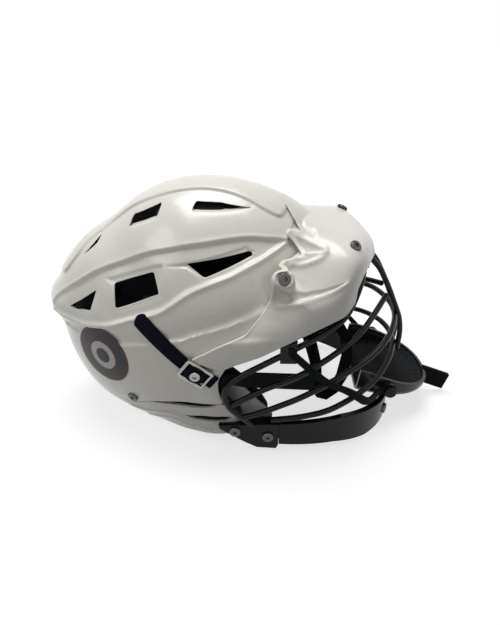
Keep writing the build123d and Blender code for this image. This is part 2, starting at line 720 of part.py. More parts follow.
temple_plane = screw_plane(visor, temple_screw_shares, temple_screw_direction)
temple_nut_plane = screw_plane(inside, temple_screw_shares, temple_screw_direction)
guard_plane = screw_plane(shell_outer, guard_screw_shares, guard_screw_direction)
guard_nut_plane = screw_plane(lap_inner, guard_screw_shares, guard_screw_direction)
front_plane = screw_plane(visor, front_screw_shares, front_screw_direction)
front_nut_plane = screw_plane(inside_visor, front_screw_shares, front_screw_direction)
stud_plane = screw_plane(chin_guard, stud_shares, stud_direction)

temple_bore = bore(temple_plane)
guard_bore = bore(guard_plane)
front_bore = bore(front_plane)
for solid in (temple_bore, mirror(temple_bore, Plane.XZ)):
    shell -= solid
    visor -= solid
for solid in (guard_bore, mirror(guard_bore, Plane.XZ)):
    shell -= solid
    lower_guard -= solid
for solid in (front_bore, mirror(front_bore, Plane.XZ)):
    visor -= solid
stud_bore = bore(stud_plane)
for solid in (stud_bore, mirror(stud_bore, Plane.XZ)):
    chin_guard -= solid

middle -= perimeter
lower -= perimeter
upper = [wire - perimeter for wire in upper]
uprights = [wire - perimeter - middle - lower - upper[0] - upper[1] for wire in uprights]
bracket = make_bracket(clear, perimeter)
bracket_planes = []
for share in bracket_screw_shares:
    point = space_point(*share)
    bracket_planes.append(Plane(origin=(point[0], bracket_outer_y, point[2]), z_dir=sideways))
for plane in bracket_planes:
    bracket -= bore(plane)
    lower_guard -= bore(plane)
    lower_guard -= mirror(bore(plane), Plane.XZ)

save("shell", shell)
save("lower_guard", lower_guard)
save("visor", visor)
save("mask_edge_wire", perimeter)
save("mask_middle_wire", middle)
save("mask_lower_wire", lower)
save("mask_upper_wires", *upper)
save("mask_upright_wires", *uprights)
save("mask_front_clip", make_front_clip([perimeter, *uprights]))
side_clip = make_side_clip(inside_visor, perimeter)
save("mask_side_clips", side_clip, mirror(side_clip, Plane.XZ))
save("chin_guard", chin_guard)
save("chin_guard_brackets", bracket, mirror(bracket, Plane.XZ))

# Fasteners
long_screw = screw(screw_head_radius, screw_head_height, screw_shank_radius, screw_shank_length)
short_screw = screw(screw_head_radius, screw_head_height, screw_shank_radius, visor_shank_length)
stud = screw(screw_head_radius, screw_head_height, screw_shank_radius, stud_shank_length)
nut = make_nut()
temple_screw = temple_plane * long_screw
guard_screw = guard_plane * long_screw
front_screw = front_plane * short_screw
stud = stud_plane * stud
save("temple_screws", temple_screw, *mirrored([temple_screw]))
save("guard_screws", guard_screw, *mirrored([guard_screw]))
save("front_visor_screws", front_screw, *mirrored([front_screw]))
save("chin_guard_studs", stud, *mirrored([stud]))
bracket_screws = [plane * short_screw for plane in bracket_planes]
save("bracket_screws", *bracket_screws, *mirrored(bracket_screws))
nuts = [plane * Pos(0, 0, -nut_gap) * nut for plane in (temple_nut_plane, guard_nut_plane, front_nut_plane)]
save("screw_nuts", *nuts, *mirrored(nuts))

# Linings
for name, pad in make_pads(inside, pad_inner).items():
    save(name, pad)
save_sides("jaw_plate", mirrored([make_jaw_plate()]))
save_sides("jaw_pad", mirrored([make_jaw_pad(inside)]))

# Rear fit plate
fit_plate, hinge_blocks, hinge_pin = make_fit_plate(plate_outer, plate_inner, inside)
save("fit_plate", fit_plate)
save("fit_plate_hinge_blocks", *hinge_blocks)
save("fit_plate_hinge_pin", hinge_pin)
fit_pad = (plate_pad_outer - plate_pad_inner) & block(
    plate_x_shares, plate_pad_z_shares, -plate_half_width, plate_half_width
)
save("fit_plate_pad", fit_pad)

# Straps at the sides
strap = make_strap(strap_grown, clear)
rivet_plane = buckle_plane(seat_gap + strap_thickness + loop_height)
rivet = screw(rivet_head_radius, rivet_head_height, rivet_shank_radius, strap_thickness)
strap -= rivet_plane * Cylinder(rivet_shank_radius, 2 * strap_thickness)
save_sides("side_strap", [strap])
save_sides("buckle", [make_buckle()])
save("strap_rivets", rivet_plane * rivet, *mirrored([rivet_plane * rivet]))
save_sides("strap_band", [make_band()])

# Chin cup and its straps
cup, cup_liner, cup_tab = make_cup()
chin_strap = make_chin_strap()
cup_pin = make_cup_pin()
pin_bore = across(cup_pin_radius + pin_gap, pivot_x, pivot_z, -cut_reach, cut_reach)
save("chin_cup", cup - pin_bore)
save("chin_cup_liner", cup_liner)
save("chin_cup_tab", cup_tab)
save("chin_cup_pins", cup_pin, *mirrored([cup_pin]))
save_sides("chin_strap", [chin_strap - pin_bore])
inner_strap_inner_y = inner_strap_outer_y - inner_strap_thickness
inner_strap = side_prism(inner_strap_shares, -inner_strap_outer_y, -inner_strap_inner_y)
save_sides("inner_strap", [inner_strap])

# Roundels
roundel_x, roundel_z = side_point(*roundel_shares)
oval = Rot(90, 0, 0) * Ellipse(roundel_half_length, roundel_half_height)
disc = extrude(Pos(roundel_x, 0, roundel_z) * oval, cut_reach)
roundel = (roundel_grown - roundel_clear) & disc
save_sides("roundel", [roundel])

buckle_hinge = buckle_plane(0).from_local_coords(Vector(buckle_length / 2 - buckle_bar / 2, 0, 0))
print("middle_x", middle_x, "buckle_hinge", buckle_hinge, "buckle_y", buckle_y)
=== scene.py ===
import bpy
import numpy as np
from math import cos, pi, radians, sin
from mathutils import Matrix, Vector
from mathutils.kdtree import KDTree


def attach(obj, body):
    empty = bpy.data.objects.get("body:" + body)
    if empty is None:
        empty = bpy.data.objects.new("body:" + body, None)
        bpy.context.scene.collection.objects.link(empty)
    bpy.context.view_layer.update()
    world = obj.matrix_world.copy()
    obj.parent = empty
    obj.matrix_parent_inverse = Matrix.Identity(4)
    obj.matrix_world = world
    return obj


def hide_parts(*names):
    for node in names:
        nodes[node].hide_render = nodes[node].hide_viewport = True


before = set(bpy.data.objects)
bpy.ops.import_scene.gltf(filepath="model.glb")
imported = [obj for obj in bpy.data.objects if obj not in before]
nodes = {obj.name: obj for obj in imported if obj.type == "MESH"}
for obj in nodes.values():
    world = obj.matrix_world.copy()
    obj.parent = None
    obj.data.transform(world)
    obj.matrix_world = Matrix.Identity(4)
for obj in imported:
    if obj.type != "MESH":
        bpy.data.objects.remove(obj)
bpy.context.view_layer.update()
mm = 0.001
shiftX = -13.095  # the CAD centres the box on X, and the outlines below are measured before that
shift = np.array([shiftX, 0, 0])
far = 1e3  # a gap in mm too large to matter


def deselectAll():
    if bpy.context.object and bpy.context.object.mode != "OBJECT":
        bpy.ops.object.mode_set(mode="OBJECT")
    bpy.ops.object.select_all(action="DESELECT")


def makeActive(obj):
    deselectAll()
    obj.select_set(True)
    bpy.context.view_layer.objects.active = obj


def addObject(name, add, **settings):
    deselectAll()
    add(**settings)
    obj = bpy.context.object
    obj.name = name
    return obj


def addModifier(obj, kind, **settings):
    makeActive(obj)
    bpy.ops.object.modifier_add(type=kind)
    modifier = obj.modifiers[-1]
    for name, value in settings.items():
        setattr(modifier, name, value)
    bpy.ops.object.modifier_apply(modifier=modifier.name)


def editAll(obj, *steps):
    # Runs steps in edit mode, each one on the whole mesh
    makeActive(obj)
    bpy.ops.object.mode_set(mode="EDIT")
    for step, settings in steps:
        bpy.ops.mesh.select_all(action="SELECT")
        step(**settings)
    bpy.ops.object.mode_set(mode="OBJECT")


def merging(gap):
    return bpy.ops.mesh.remove_doubles, {"threshold": gap}


facingOut = (bpy.ops.mesh.normals_make_consistent, {"inside": False})


def copyOfNode(node, name):
    # A merged copy of a CAD node, as the start of a softer or finer piece
    source = nodes[node]
    copy = source.copy()
    copy.data = source.data.copy()
    copy.name = name
    copy.parent = None
    copy.matrix_world = source.matrix_world
    bpy.context.scene.collection.objects.link(copy)
    editAll(copy, merging(0.00001))
    return copy


def sidesOf(name):
    # The node of that name, or the left and right ones it stands for
    return [found for found in (name, name + "_left", name + "_right") if found in nodes]


def readVectors(items, name):
    flat = np.empty(len(items) * 3)
    items.foreach_get(name, flat)
    return flat.reshape(-1, 3)


def readPoints(obj):
    return readVectors(obj.data.vertices, "co")


def writePoints(obj, points):
    obj.data.vertices.foreach_set("co", points.ravel())
    obj.data.update()


def displace(obj, amount, origin=shift):
    # Moves every point along its normal by amount(points), in mm; the points are counted from origin
    points = readPoints(obj)
    moved = amount(points / mm - origin) * mm
    writePoints(obj, points + readVectors(obj.data.vertex_normals, "vector") * moved[:, None])


def smoothStep(values):
    t = np.clip(values * 0.5 + 0.5, 0, 1)
    return t * t * (3 - 2 * t)


def bell(gap, width):
    return np.exp(-(gap / width) ** 2)


def setMaterial(obj, material):
    obj.data.materials.clear()
    obj.data.materials.append(material)


print("frame loaded")

plasticFinish = {
    "shellWhite": {"colour": (0.8, 0.785, 0.725), "roughness": 0.24,
                   "coat": 0.35, "grime": 0.1, "specks": True},
    "visorWhite": {"colour": (0.80, 0.785, 0.73), "roughness": 0.28,
                   "coat": 0.2, "grime": 0.1, "specks": True},
    "guardWhite": {"colour": (0.7, 0.685, 0.63), "roughness": 0.3,
                   "coat": 0.25, "grime": 0.16, "specks": True},
    "jawWhite": {"colour": (0.62, 0.61, 0.58), "roughness": 0.32,
                 "coat": 0.15, "grime": 0.2, "specks": True},
    "blackGloss": {"colour": (0.004, 0.005, 0.007), "roughness": 0.22, "grime": 0.05},
    "blackMatte": {"colour": (0.008, 0.008, 0.010), "roughness": 0.55, "grime": 0.05},
    "cupGrey": {"colour": (0.020, 0.022, 0.025), "roughness": 0.26, "coat": 0.20, "grime": 0.10},
    "lining": {"colour": (0.010, 0.010, 0.012), "roughness": 0.70},
    "wireBlack": {"colour": (0.003, 0.004, 0.006), "roughness": 0.22},
}
# Noises are given by scale, detail and roughness, and bumps by strength and depth in m
plasticWear = {
    "clouds": (18, 5), "tint": (0.93, 0.91, 0.86), "tintShare": 0.55,
    "smears": (42, 6, 0.7), "smearRange": (0.52, 0.72), "dirt": (0.62, 0.57, 0.46),
    "grains": (900, 1, 0.4), "grainRange": (0.73, 0.77), "patches": (26, 3), "patchRange": (0.5, 0.66),
    "speckColour": (0.12, 0.10, 0.07), "scuffs": (70, 6, 0.7), "scuffRange": (0.75, 1.35),
    "refraction": 1.5, "coatRoughness": 0.12, "paleFrom": 0.3, "paleGloss": 0.5, "darkGloss": 0.18,
    "dents": (200, 2), "dentBump": (0.04, 0.0002), "edgeRadius": 0.0007,
}
metalFinish = {
    "steel": {"colour": (0.13, 0.128, 0.12), "roughness": 0.35, "scale": 400},
    "plated": {"colour": (0.40, 0.40, 0.39), "roughness": 0.24, "scale": 300},
}
# The scale of its noise is each finish's own
metalWear = {
    "noise": (5, 0.7), "dull": 0.45, "dullShare": 0.8, "scuffRange": (0.7, 1.6), "bump": (0.2, 0.0002),
}
# Turn is the strap's slope in degrees, pitch its ribs' spacing
webbingFinish = {
    "sideWebbing": {"colour": (0.0025, 0.0035, 0.0075), "turn": 40, "pitch": 0.0013},
    "bandWebbing": {"colour": (0.016, 0.018, 0.021), "turn": 18, "pitch": 0.0012},
    "chinWebbing": {"colour": (0.007, 0.008, 0.010), "turn": 50, "pitch": 0.0010},
    "innerWebbing": {"colour": (0.002, 0.0025, 0.004), "turn": 80, "pitch": 0.0012},
}
foamFinish = {
    "foam": {"colour": (0.004, 0.004, 0.005), "pitch": 0.0022},
    "cupFoam": {"colour": (0.014, 0.015, 0.017), "pitch": 0.0030},
}
# How much paler the raised and the worn parts are, the noise of the wear, its share and the gloss
webbingWear = {
    "gain": 1.9, "lift": 0.002, "noise": (60, 5, 0.7), "share": 0.5, "roughness": 0.85, "gloss": 0.07,
    "sheen": 0.01, "bump": (0.7, 0.0004), "yarns": (("X", 1), ("Z", 0.8)), "bands": 3.2,
    "distortion": 0.6,
}
foamWear = {
    "gain": 1.8, "lift": 0.003, "noise": (45, 5, 0.65), "share": 0.45, "roughness": 0.92, "gloss": 0.1,
    "sheen": 0.02, "bump": (0.5, 0.0006),
}
black, white = (0, 0, 0), (1, 1, 1)


def newMaterial(name):
    material = bpy.data.materials.new(name)
    material.use_nodes = True
    tree = material.node_tree
    shader = next(node for node in tree.nodes if node.type == "BSDF_PRINCIPLED")
    return material, tree, shader


def setInputs(node, **values):
    # Names are the sockets' own without spaces; another node's output given as a value is linked
    names = {socket.name.replace(" ", ""): socket.name for socket in node.inputs}
    for name, value in values.items():
        socket = node.inputs[names[name]]
        if isinstance(value, bpy.types.NodeSocket):
            node.id_data.links.new(value, socket)
        else:
            socket.default_value = value


def addNode(tree, kind, **values):
    node = tree.nodes.new("ShaderNode" + kind)
    setInputs(node, **values)
    return node


def addNoise(tree, where, scale, detail=3.0, roughness=0.55):
    noise = addNode(tree, "TexNoise", Vector=where, Scale=scale, Detail=detail, Roughness=roughness)
    return noise.outputs["Fac"]


def addRamp(tree, value, stops, interpolation="LINEAR"):
    node = addNode(tree, "ValToRGB", Fac=value)
    ramp = node.color_ramp
    ramp.interpolation = interpolation
    for element, (position, colour) in zip(ramp.elements, (stops[0], stops[-1])):
        element.position, element.color = position, (*colour, 1)
    for position, colour in stops[1:-1]:
        ramp.elements.new(position).color = (*colour, 1)
    return node.outputs["Color"]


def addMix(tree, factor, first, second, blend="MIX"):
    mix = addNode(tree, "Mix")
    mix.data_type = "RGBA"
    mix.blend_type = blend
    for socket, value in ((mix.inputs[0], factor), (mix.inputs[6], first), (mix.inputs[7], second)):
        if isinstance(value, bpy.types.NodeSocket):
            tree.links.new(value, socket)
        else:
            socket.default_value = (*value, 1) if isinstance(value, tuple) else value
    return mix.outputs[2]


def addRange(tree, value, stops):
    return addRamp(tree, value, list(zip(stops, (black, white))))


def addBump(tree, shader, height, strength, distance, edge=0.0):
    relief = addNode(tree, "Bump", Strength=strength, Distance=distance, Height=height)
    if edge:
        bevel = addNode(tree, "Bevel", Radius=edge)
        bevel.samples = 4
        setInputs(relief, Normal=bevel.outputs["Normal"])
    setInputs(shader, Normal=relief.outputs["Normal"])


def addMap(tree, source, low, high, start=0.0, end=1.0):
    scale = addNode(tree, "MapRange", Value=source, FromMin=start, FromMax=end, ToMin=low, ToMax=high)
    return scale.outputs["Result"]


def addLength(tree, vector):
    node = addNode(tree, "VectorMath", Vector=vector)
    node.operation = "LENGTH"
    return node.outputs["Value"]


def addMath(tree, operation, *sources):
    node = addNode(tree, "Math")
    node.operation = operation
    for source, socket in zip(sources, node.inputs):
        tree.links.new(source, socket)
    return node.outputs["Value"]


def objectCoordinates(tree):
    return addNode(tree, "TexCoord").outputs["Object"]


def scaled(colour, factors):
    return tuple(channel * factor for channel, factor in zip(colour, factors))


def makePlastic(name, finish):
    material, tree, shader = newMaterial(name)
    wear, base, roughness = plasticWear, finish["colour"], finish["roughness"]
    where = objectCoordinates(tree)

    def noise(part):
        return addNoise(tree, where, *wear[part])

    cloudy = addMap(tree, noise("clouds"), 0.0, wear["tintShare"])
    colour = addMix(tree, cloudy, base, scaled(base, wear["tint"]))
    if "grime" in finish:
        smear = addRange(tree, noise("smears"), wear["smearRange"])
        smear = addMap(tree, smear, 0.0, finish["grime"] * 2)
        colour = addMix(tree, smear, colour, scaled(base, wear["dirt"]))
    if "specks" in finish:
        specks = addRange(tree, noise("grains"), wear["grainRange"])
        field = addRange(tree, noise("patches"), wear["patchRange"])
        spotted = addMix(tree, 1.0, specks, field, "MULTIPLY")
        colour = addMix(tree, spotted, colour, wear["speckColour"])
    rough = addMap(tree, noise("scuffs"), *(roughness * share for share in wear["scuffRange"]))
    gloss = wear["paleGloss"] if base[0] > wear["paleFrom"] else wear["darkGloss"]
    setInputs(shader, BaseColor=colour, Roughness=rough, IOR=wear["refraction"], SpecularIORLevel=gloss,
              CoatWeight=finish.get("coat", 0.0), CoatRoughness=wear["coatRoughness"])
    addBump(tree, shader, noise("dents"), *wear["dentBump"], edge=wear["edgeRadius"])
    return material


def makeMetal(name, finish):
    material, tree, shader = newMaterial(name)
    wear, colour, roughness = metalWear, finish["colour"], finish["roughness"]
    worn = addNoise(tree, objectCoordinates(tree), finish["scale"], *wear["noise"])
    dull = scaled(colour, (wear["dull"],) * 3)
    patchy = addMix(tree, addMap(tree, worn, 0.0, wear["dullShare"]), colour, dull)
    rough = addMap(tree, worn, *(roughness * share for share in wear["scuffRange"]))
    setInputs(shader, BaseColor=patchy, Roughness=rough, Metallic=1.0)
    addBump(tree, shader, worn, *wear["bump"])
    return material


def dressCloth(tree, shader, where, pattern, colour, wear):
    # Raised and worn parts are paler
    pale = tuple(channel * wear["gain"] + wear["lift"] for channel in colour)
    worn = addMap(tree, addNoise(tree, where, *wear["noise"]), 0.0, wear["share"])
    shaded = addMix(tree, worn, addMix(tree, pattern, colour, pale), pale)
    setInputs(shader, BaseColor=shaded, Roughness=wear["roughness"], SpecularIORLevel=wear["gloss"],
              SheenWeight=wear["sheen"])
    addBump(tree, shader, pattern, *wear["bump"])


def makeWebbing(name, finish):
    # Cross ribs and long yarns, turned to run along the strap
    material, tree, shader = newMaterial(name)
    turn = (0, radians(finish["turn"]), 0)
    where = addNode(tree, "Mapping", Vector=objectCoordinates(tree), Rotation=turn).outputs["Vector"]
    waves = []
    for direction, share in webbingWear["yarns"]:
        scale = share / finish["pitch"] / webbingWear["bands"]
        wave = addNode(tree, "TexWave", Vector=where, Scale=scale, Distortion=webbingWear["distortion"],
                       Detail=1.0)
        wave.bands_direction = direction
        waves.append(wave.outputs["Fac"])
    weave = addMix(tree, 1.0, waves[0], waves[1], "MULTIPLY")
    dressCloth(tree, shader, where, weave, finish["colour"], webbingWear)
    return material


def makeFoam(name, finish):
    # Knitted cover over foam: a fine net of dimples
    material, tree, shader = newMaterial(name)
    where = objectCoordinates(tree)
    cells = addNode(tree, "TexVoronoi", Vector=where, Scale=1 / finish["pitch"]).outputs["Distance"]
    dressCloth(tree, shader, where, cells, finish["colour"], foamWear)
    return material


roundelPrint = {
    "centre": (-130.95 + shiftX, 91.08), "halfLength": 25.0, "halfHeight": 29.0,
    "wornColour": (0.22, 0.21, 0.19), "worn": (160, 6, 0.75), "wornRange": (0.55, 0.75),
    "wornShare": 0.22,
    # Where each ring starts, as a share of the disc's half size, and its colour
    "rings": [
        (0.00, (0.020, 0.023, 0.030)), (0.27, (0.60, 0.58, 0.54)), (0.50, (0.22, 0.02, 0.02)),
        (0.535, (0.024, 0.026, 0.030)), (0.93, (0.20, 0.015, 0.015)), (0.965, (0.020, 0.020, 0.024)),
    ],
}


def makeRoundelPrint(name, look):
    # Plain rings about the disc's own centre
    material, tree, shader = newMaterial(name)
    centreX, centreZ = look["centre"]
    where = objectCoordinates(tree)
    scaleX, scaleZ = 1 / look["halfLength"], 1 / look["halfHeight"]
    shares = addNode(tree, "Mapping", Vector=where, Scale=(scaleX / mm, 0, scaleZ / mm),
                     Location=(-centreX * scaleX, 0, -centreZ * scaleZ))
    rings = addRamp(tree, addLength(tree, shares.outputs["Vector"]), look["rings"], "CONSTANT")
    worn = addRange(tree, addNoise(tree, where, *look["worn"]), look["wornRange"])
    colour = addMix(tree, addMap(tree, worn, 0.0, look["wornShare"]), rings, look["wornColour"])
    setInputs(shader, BaseColor=colour, Roughness=0.35, SpecularIORLevel=0.2)
    return material


finishes = {"roundelPrint": makeRoundelPrint("roundelPrint", roundelPrint)}
for make, looks in ((makePlastic, plasticFinish), (makeMetal, metalFinish),
                    (makeWebbing, webbingFinish), (makeFoam, foamFinish)):
    for name, look in looks.items():
        finishes[name] = make(name, look)
print("materials made")


# The helmet's form, from its side view and one rounding law across
form = {
    "length": 270.0, "height": 230.0, "halfWidth": 100.0, "power": 1.78, "centre": (-29.97, 100.05),
    "wall": 3.0, "rear": -184.95,
}
profileShares = (
    (1.0, 0.435), (0.970, 0.704), (0.907, 0.826), (0.811, 0.917), (0.696, 0.974), (0.574, 1.0),
    (0.448, 0.991), (0.330, 0.935), (0.226, 0.843), (0.111, 0.748), (0.022, 0.609), (0.0, 0.435),
    (0.019, 0.261), (0.081, 0.100), (0.189, -0.017), (0.304, -0.096), (0.419, -0.248),
    (0.574, -0.391), (0.752, -0.343), (0.870, -0.170), (0.959, 0.174), (0.981, 0.330),
)
rearX = form["rear"]


def sidePoint(share):
    return rearX + share[0] * form["length"], share[1] * form["height"]


def smoothLoop(points, steps):
    # A closed centripetal curve through points
    count = len(points)
    loop = []
    for index in range(count):
        p = [np.array(points[(index + k - 1) % count]) for k in range(4)]
        t = [0.0]
        for k in range(3):
            t.append(t[-1] + np.linalg.norm(p[k + 1] - p[k]) ** 0.5)
        for step in range(steps):
            s = t[1] + (t[2] - t[1]) * step / steps

            def between(first, second, k, m):
                return ((t[m] - s) * first + (s - t[k]) * second) / (t[m] - t[k])

            a = [between(p[k], p[k + 1], k, k + 1) for k in range(3)]
            b = [between(a[k], a[k + 1], k, k + 2) for k in range(2)]
            loop.append(between(b[0], b[1], 1, 2))
    return np.array(loop)


def aboutCentre(x, z):
    # Angle about the form's centre in the side view, in degrees, and distance from it, in mm
    x, z = x - form["centre"][0], z - form["centre"][1]
    return np.degrees(np.arctan2(z, x)), np.hypot(x, z)


profile = smoothLoop([sidePoint(share) for share in profileShares], 16)
profileAngle, profileReach = aboutCentre(profile[:, 0], profile[:, 1])
order = np.argsort(profileAngle)
profileAngle, profileReach = profileAngle[order], profileReach[order]


def reachAt(angle):
    return np.interp(angle, profileAngle, profileReach, period=360)


def placed(angle, reach, y):
    # Points from their angle about the form's centre, distance from it and place across
    x = form["centre"][0] + reach * np.cos(np.radians(angle))
    z = form["centre"][1] + reach * np.sin(np.radians(angle))
    return np.stack([x, y, z], axis=-1)


def formPoint(angle, y):
    # The outer form's point at an angle about its centre, in degrees, and a place across, in mm
    y = np.asarray(y, float)
    k = (1 - np.clip(np.abs(y) / form["halfWidth"], 0, 1) ** form["power"]) ** (1 / form["power"])
    return placed(angle, reachAt(angle) * k, y)


def formY(x, z):
    # How far out the form is at a point of the side view
    angle, reach = aboutCentre(x, z)
    k = np.clip(reach / reachAt(angle), 0, 1)
    return form["halfWidth"] * (1 - k ** form["power"]) ** (1 / form["power"])


def arcTable():
    # Distance over the form from its middle plane, in mm, against the angle to the side in degrees
    sides = np.linspace(0, 90, 361)
    y = np.sin(np.radians(sides)) ** (2 / form["power"]) * form["halfWidth"]
    k = np.cos(np.radians(sides)).clip(0, 1) ** (2 / form["power"]) * form["length"] / 2
    return sides, np.concatenate([[0], np.cumsum(np.hypot(np.diff(y), np.diff(k)))])


# Rows close to each relief line, how near in mm, the share of the other rows before each line,
# and the angles between which the rows follow it
shellRows = {
    "fine": 14, "near": 3.2, "shares": (0.08, 0.24, 0.32),
    "follow": {"crown": (66, 158), "terrace": (56.4, 166), "pocket": (56.4, 167)},
}


def rowSides(angles, rows, lines):
    # Where each row lies at each angle: rows run along the relief's lines and crowd beside them
    sides, arc = arcTable()
    close, fine = shellRows["near"], shellRows["fine"]
    knots = []
    for name, (front, rear) in shellRows["follow"].items():
        where, edge = np.array(sorted(lines[name]), float).T
        across = np.interp(np.clip(angles, front, rear), where, edge)
        side = np.degrees(np.arcsin((across / form["halfWidth"]) ** (form["power"] / 2)))
        knots.append(np.interp(side, sides, arc))
    found = np.zeros((len(angles), rows + 1))
    plain = rows - 3 * fine
    counts = [count for share in shellRows["shares"] for count in (int(plain * share), fine)]
    marks = np.append(np.cumsum([0] + counts), rows)
    for index in range(len(angles)):
        stops, least = [0], close + 1.0
        for knot in knots:
            middle = max(knot[index], least)
            stops += [middle - close, middle + close]
            least = middle + 2 * close + 1.0
        place = np.interp(np.arange(rows + 1), marks, stops + [arc[-1]])
        found[index] = np.interp(place, arc, sides)
    return found


def addForm(name, segments, rings, offset, fineShare=0.82, fineFrom=-14.0, fineTo=196.0, lines=None):
    # A sphere with poles at the two sides, drawn out to the helmet's form; most segments are on top
    obj = addObject(name, bpy.ops.mesh.primitive_uv_sphere_add, segments=segments, ring_count=rings,
                    rotation=(pi / 2, 0, 0))
    bpy.ops.object.transform_apply(location=False, rotation=True, scale=True)
    points = readPoints(obj)
    turn = (np.degrees(np.arctan2(points[:, 2], points[:, 0])) % 360) / 360
    fine = fineTo - fineFrom
    angle = np.where(turn < fineShare, fineFrom + fine * turn / fineShare,
                     fineTo + (360 - fine) * (turn - fineShare) / (1 - fineShare))
    side = np.arcsin(np.clip(points[:, 1], -1, 1))
    if lines:
        rows = rings // 2
        row = np.rint(np.abs(np.degrees(side)) / 90 * rows).astype(int)
        wrapped = np.where(angle > 240, angle - 360, angle)
        columns, column = np.unique(np.round(wrapped, 3), return_inverse=True)
        table = rowSides(columns, rows, lines)
        side = np.sign(side) * np.radians(table[column, row])
    k = np.cos(side) ** (2 / form["power"])
    y = np.sign(side) * np.abs(np.sin(side)) ** (2 / form["power"]) * (form["halfWidth"] + offset)
    k[np.abs(side) > radians(89.99)] = 0
    writePoints(obj, (placed(angle, k * (reachAt(angle) + offset), y) + shift) * mm)
    editAll(obj, facingOut)
    return obj


def rounded(corners, radius, steps=4):
    # The outline with each corner rounded, by no more than its shorter side allows
    loop = []
    count = len(corners)
    for index in range(count):
        before, corner, after = (np.array(corners[(index + k) % count], float) for k in (-1, 0, 1))
        towards, away = before - corner, after - corner
        cut = min(radius, 0.45 * np.linalg.norm(towards), 0.45 * np.linalg.norm(away))
        start = corner + towards / np.linalg.norm(towards) * cut
        end = corner + away / np.linalg.norm(away) * cut
        for step in range(steps + 1):
            t = step / steps
            loop.append(tuple((1 - t) ** 2 * start + 2 * t * (1 - t) * corner + t ** 2 * end))
    return loop


def addPrism(name, outline, lowY, highY):
    # A closed upright-sided solid from an outline in the side view
    obj = addObject(name, bpy.ops.mesh.primitive_circle_add, vertices=len(outline), fill_type="NGON")
    writePoints(obj, (np.array([(x, lowY, z) for x, z in outline]) + shift) * mm)
    move = {"value": (0, (highY - lowY) * mm, 0)}
    editAll(obj, (bpy.ops.mesh.extrude_region_move, {"TRANSFORM_OT_translate": move}), facingOut)
    return obj


def combine(obj, other, operation):
    addModifier(obj, "BOOLEAN", operation=operation, object=other, solver="MANIFOLD")
    remove(other)


def remove(obj):
    mesh = obj.data
    bpy.data.objects.remove(obj)
    bpy.data.meshes.remove(mesh)


# Segments and rings of each form; "cutter" is for those that only cut or hide inside
formMesh = {"cutter": (180, 90), "shell": (440, 280), "guard": (300, 150)}


def hollow(obj, offset):
    # Takes out all that lies nearer the middle than offset, in mm from the form
    combine(obj, addForm("inside", *formMesh["cutter"], offset), "DIFFERENCE")


farSide = 300  # past either side of the helmet, in mm


def cutBySide(obj, shares, radius, operation, steps=4):
    # Cuts through from side to side along an outline, rounded by radius in mm
    outline = [sidePoint(share) for share in shares]
    if radius:
        outline = rounded(outline, radius, steps)
    combine(obj, addPrism("side_cut", outline, -farSide, farSide), operation)


def addLayer(name, layer):
    # A layer under the wall between two depths in mm, cut to an outline
    obj = addForm(name, *formMesh["cutter"], -form["wall"] - layer["outer"])
    hollow(obj, -form["wall"] - layer["inner"])
    cutBySide(obj, layer["outline"], layer["radius"], "INTERSECT")
    return obj


def toTree(points):
    tree = KDTree(len(points))
    for index, point in enumerate(points):
        tree.insert(point, index)
    tree.balance()
    return tree


def distances(points, line, reach):
    # How far each point is from a line's nearest sample, in mm, looked up only near the line
    low, high = line.min(axis=0) - reach, line.max(axis=0) + reach
    near = np.all((points > low) & (points < high), axis=1)
    found = np.full(len(points), far)
    tree = toTree(line)
    for index in np.nonzero(near)[0]:
        found[index] = tree.find(points[index])[2]
    return found


def denseLine(points, step=0.8):
    # Samples along an open curve through points
    count = len(points)
    ends = [2 * np.array(points[0]) - np.array(points[1])] + [np.array(p) for p in points]
    ends.append(2 * np.array(points[-1]) - np.array(points[-2]))
    line = []
    for index in range(count - 1):
        p0, p1, p2, p3 = ends[index:index + 4]
        parts = max(2, int(np.linalg.norm(p2 - p1) / step))
        for part in range(parts):
            t = part / parts
            line.append(0.5 * (2 * p1 + (p2 - p0) * t + (2 * p0 - 5 * p1 + 4 * p2 - p3) * t ** 2
                               + (3 * p1 - p0 - 3 * p2 + p3) * t ** 3))
    line.append(ends[count])
    return np.array(line)


def surfaceLine(anglesAndYs):
    # Samples of a curve on the form, given as angle and place across
    line = denseLine([(angle, y) for angle, y in anglesAndYs], step=0.15)
    return formPoint(line[:, 0], line[:, 1]), line


shellOutline = (
    (-0.167, 0.13), (0.148, 0.13), (0.27, 0.143), (0.352, 0.204), (0.456, 0.235), (0.57, 0.248),
    (0.604, 0.248), (0.589, 0.313), (0.589, 0.374), (0.626, 0.452), (0.73, 0.522), (0.841, 0.591),
    (0.915, 0.652), (0.996, 0.687), (1.167, 0.696), (1.167, 1.174), (-0.167, 1.174),
)
topVents = (
    ((0.507, 0.939), (0.519, 0.965), (0.596, 0.961), (0.693, 0.939), (0.596, 0.937)),
    ((0.3, 0.861), (0.315, 0.9), (0.411, 0.952), (0.396, 0.909)),
    ((0.133, 0.735), (0.196, 0.809), (0.181, 0.778)),
)
sideVents = (
    ((0.496, 0.791), (0.689, 0.822), (0.7, 0.809), (0.552, 0.748)),
    ((0.259, 0.687), (0.393, 0.752), (0.411, 0.683), (0.263, 0.604)),
    ((0.081, 0.548), (0.193, 0.648), (0.167, 0.565), (0.104, 0.543)),
)
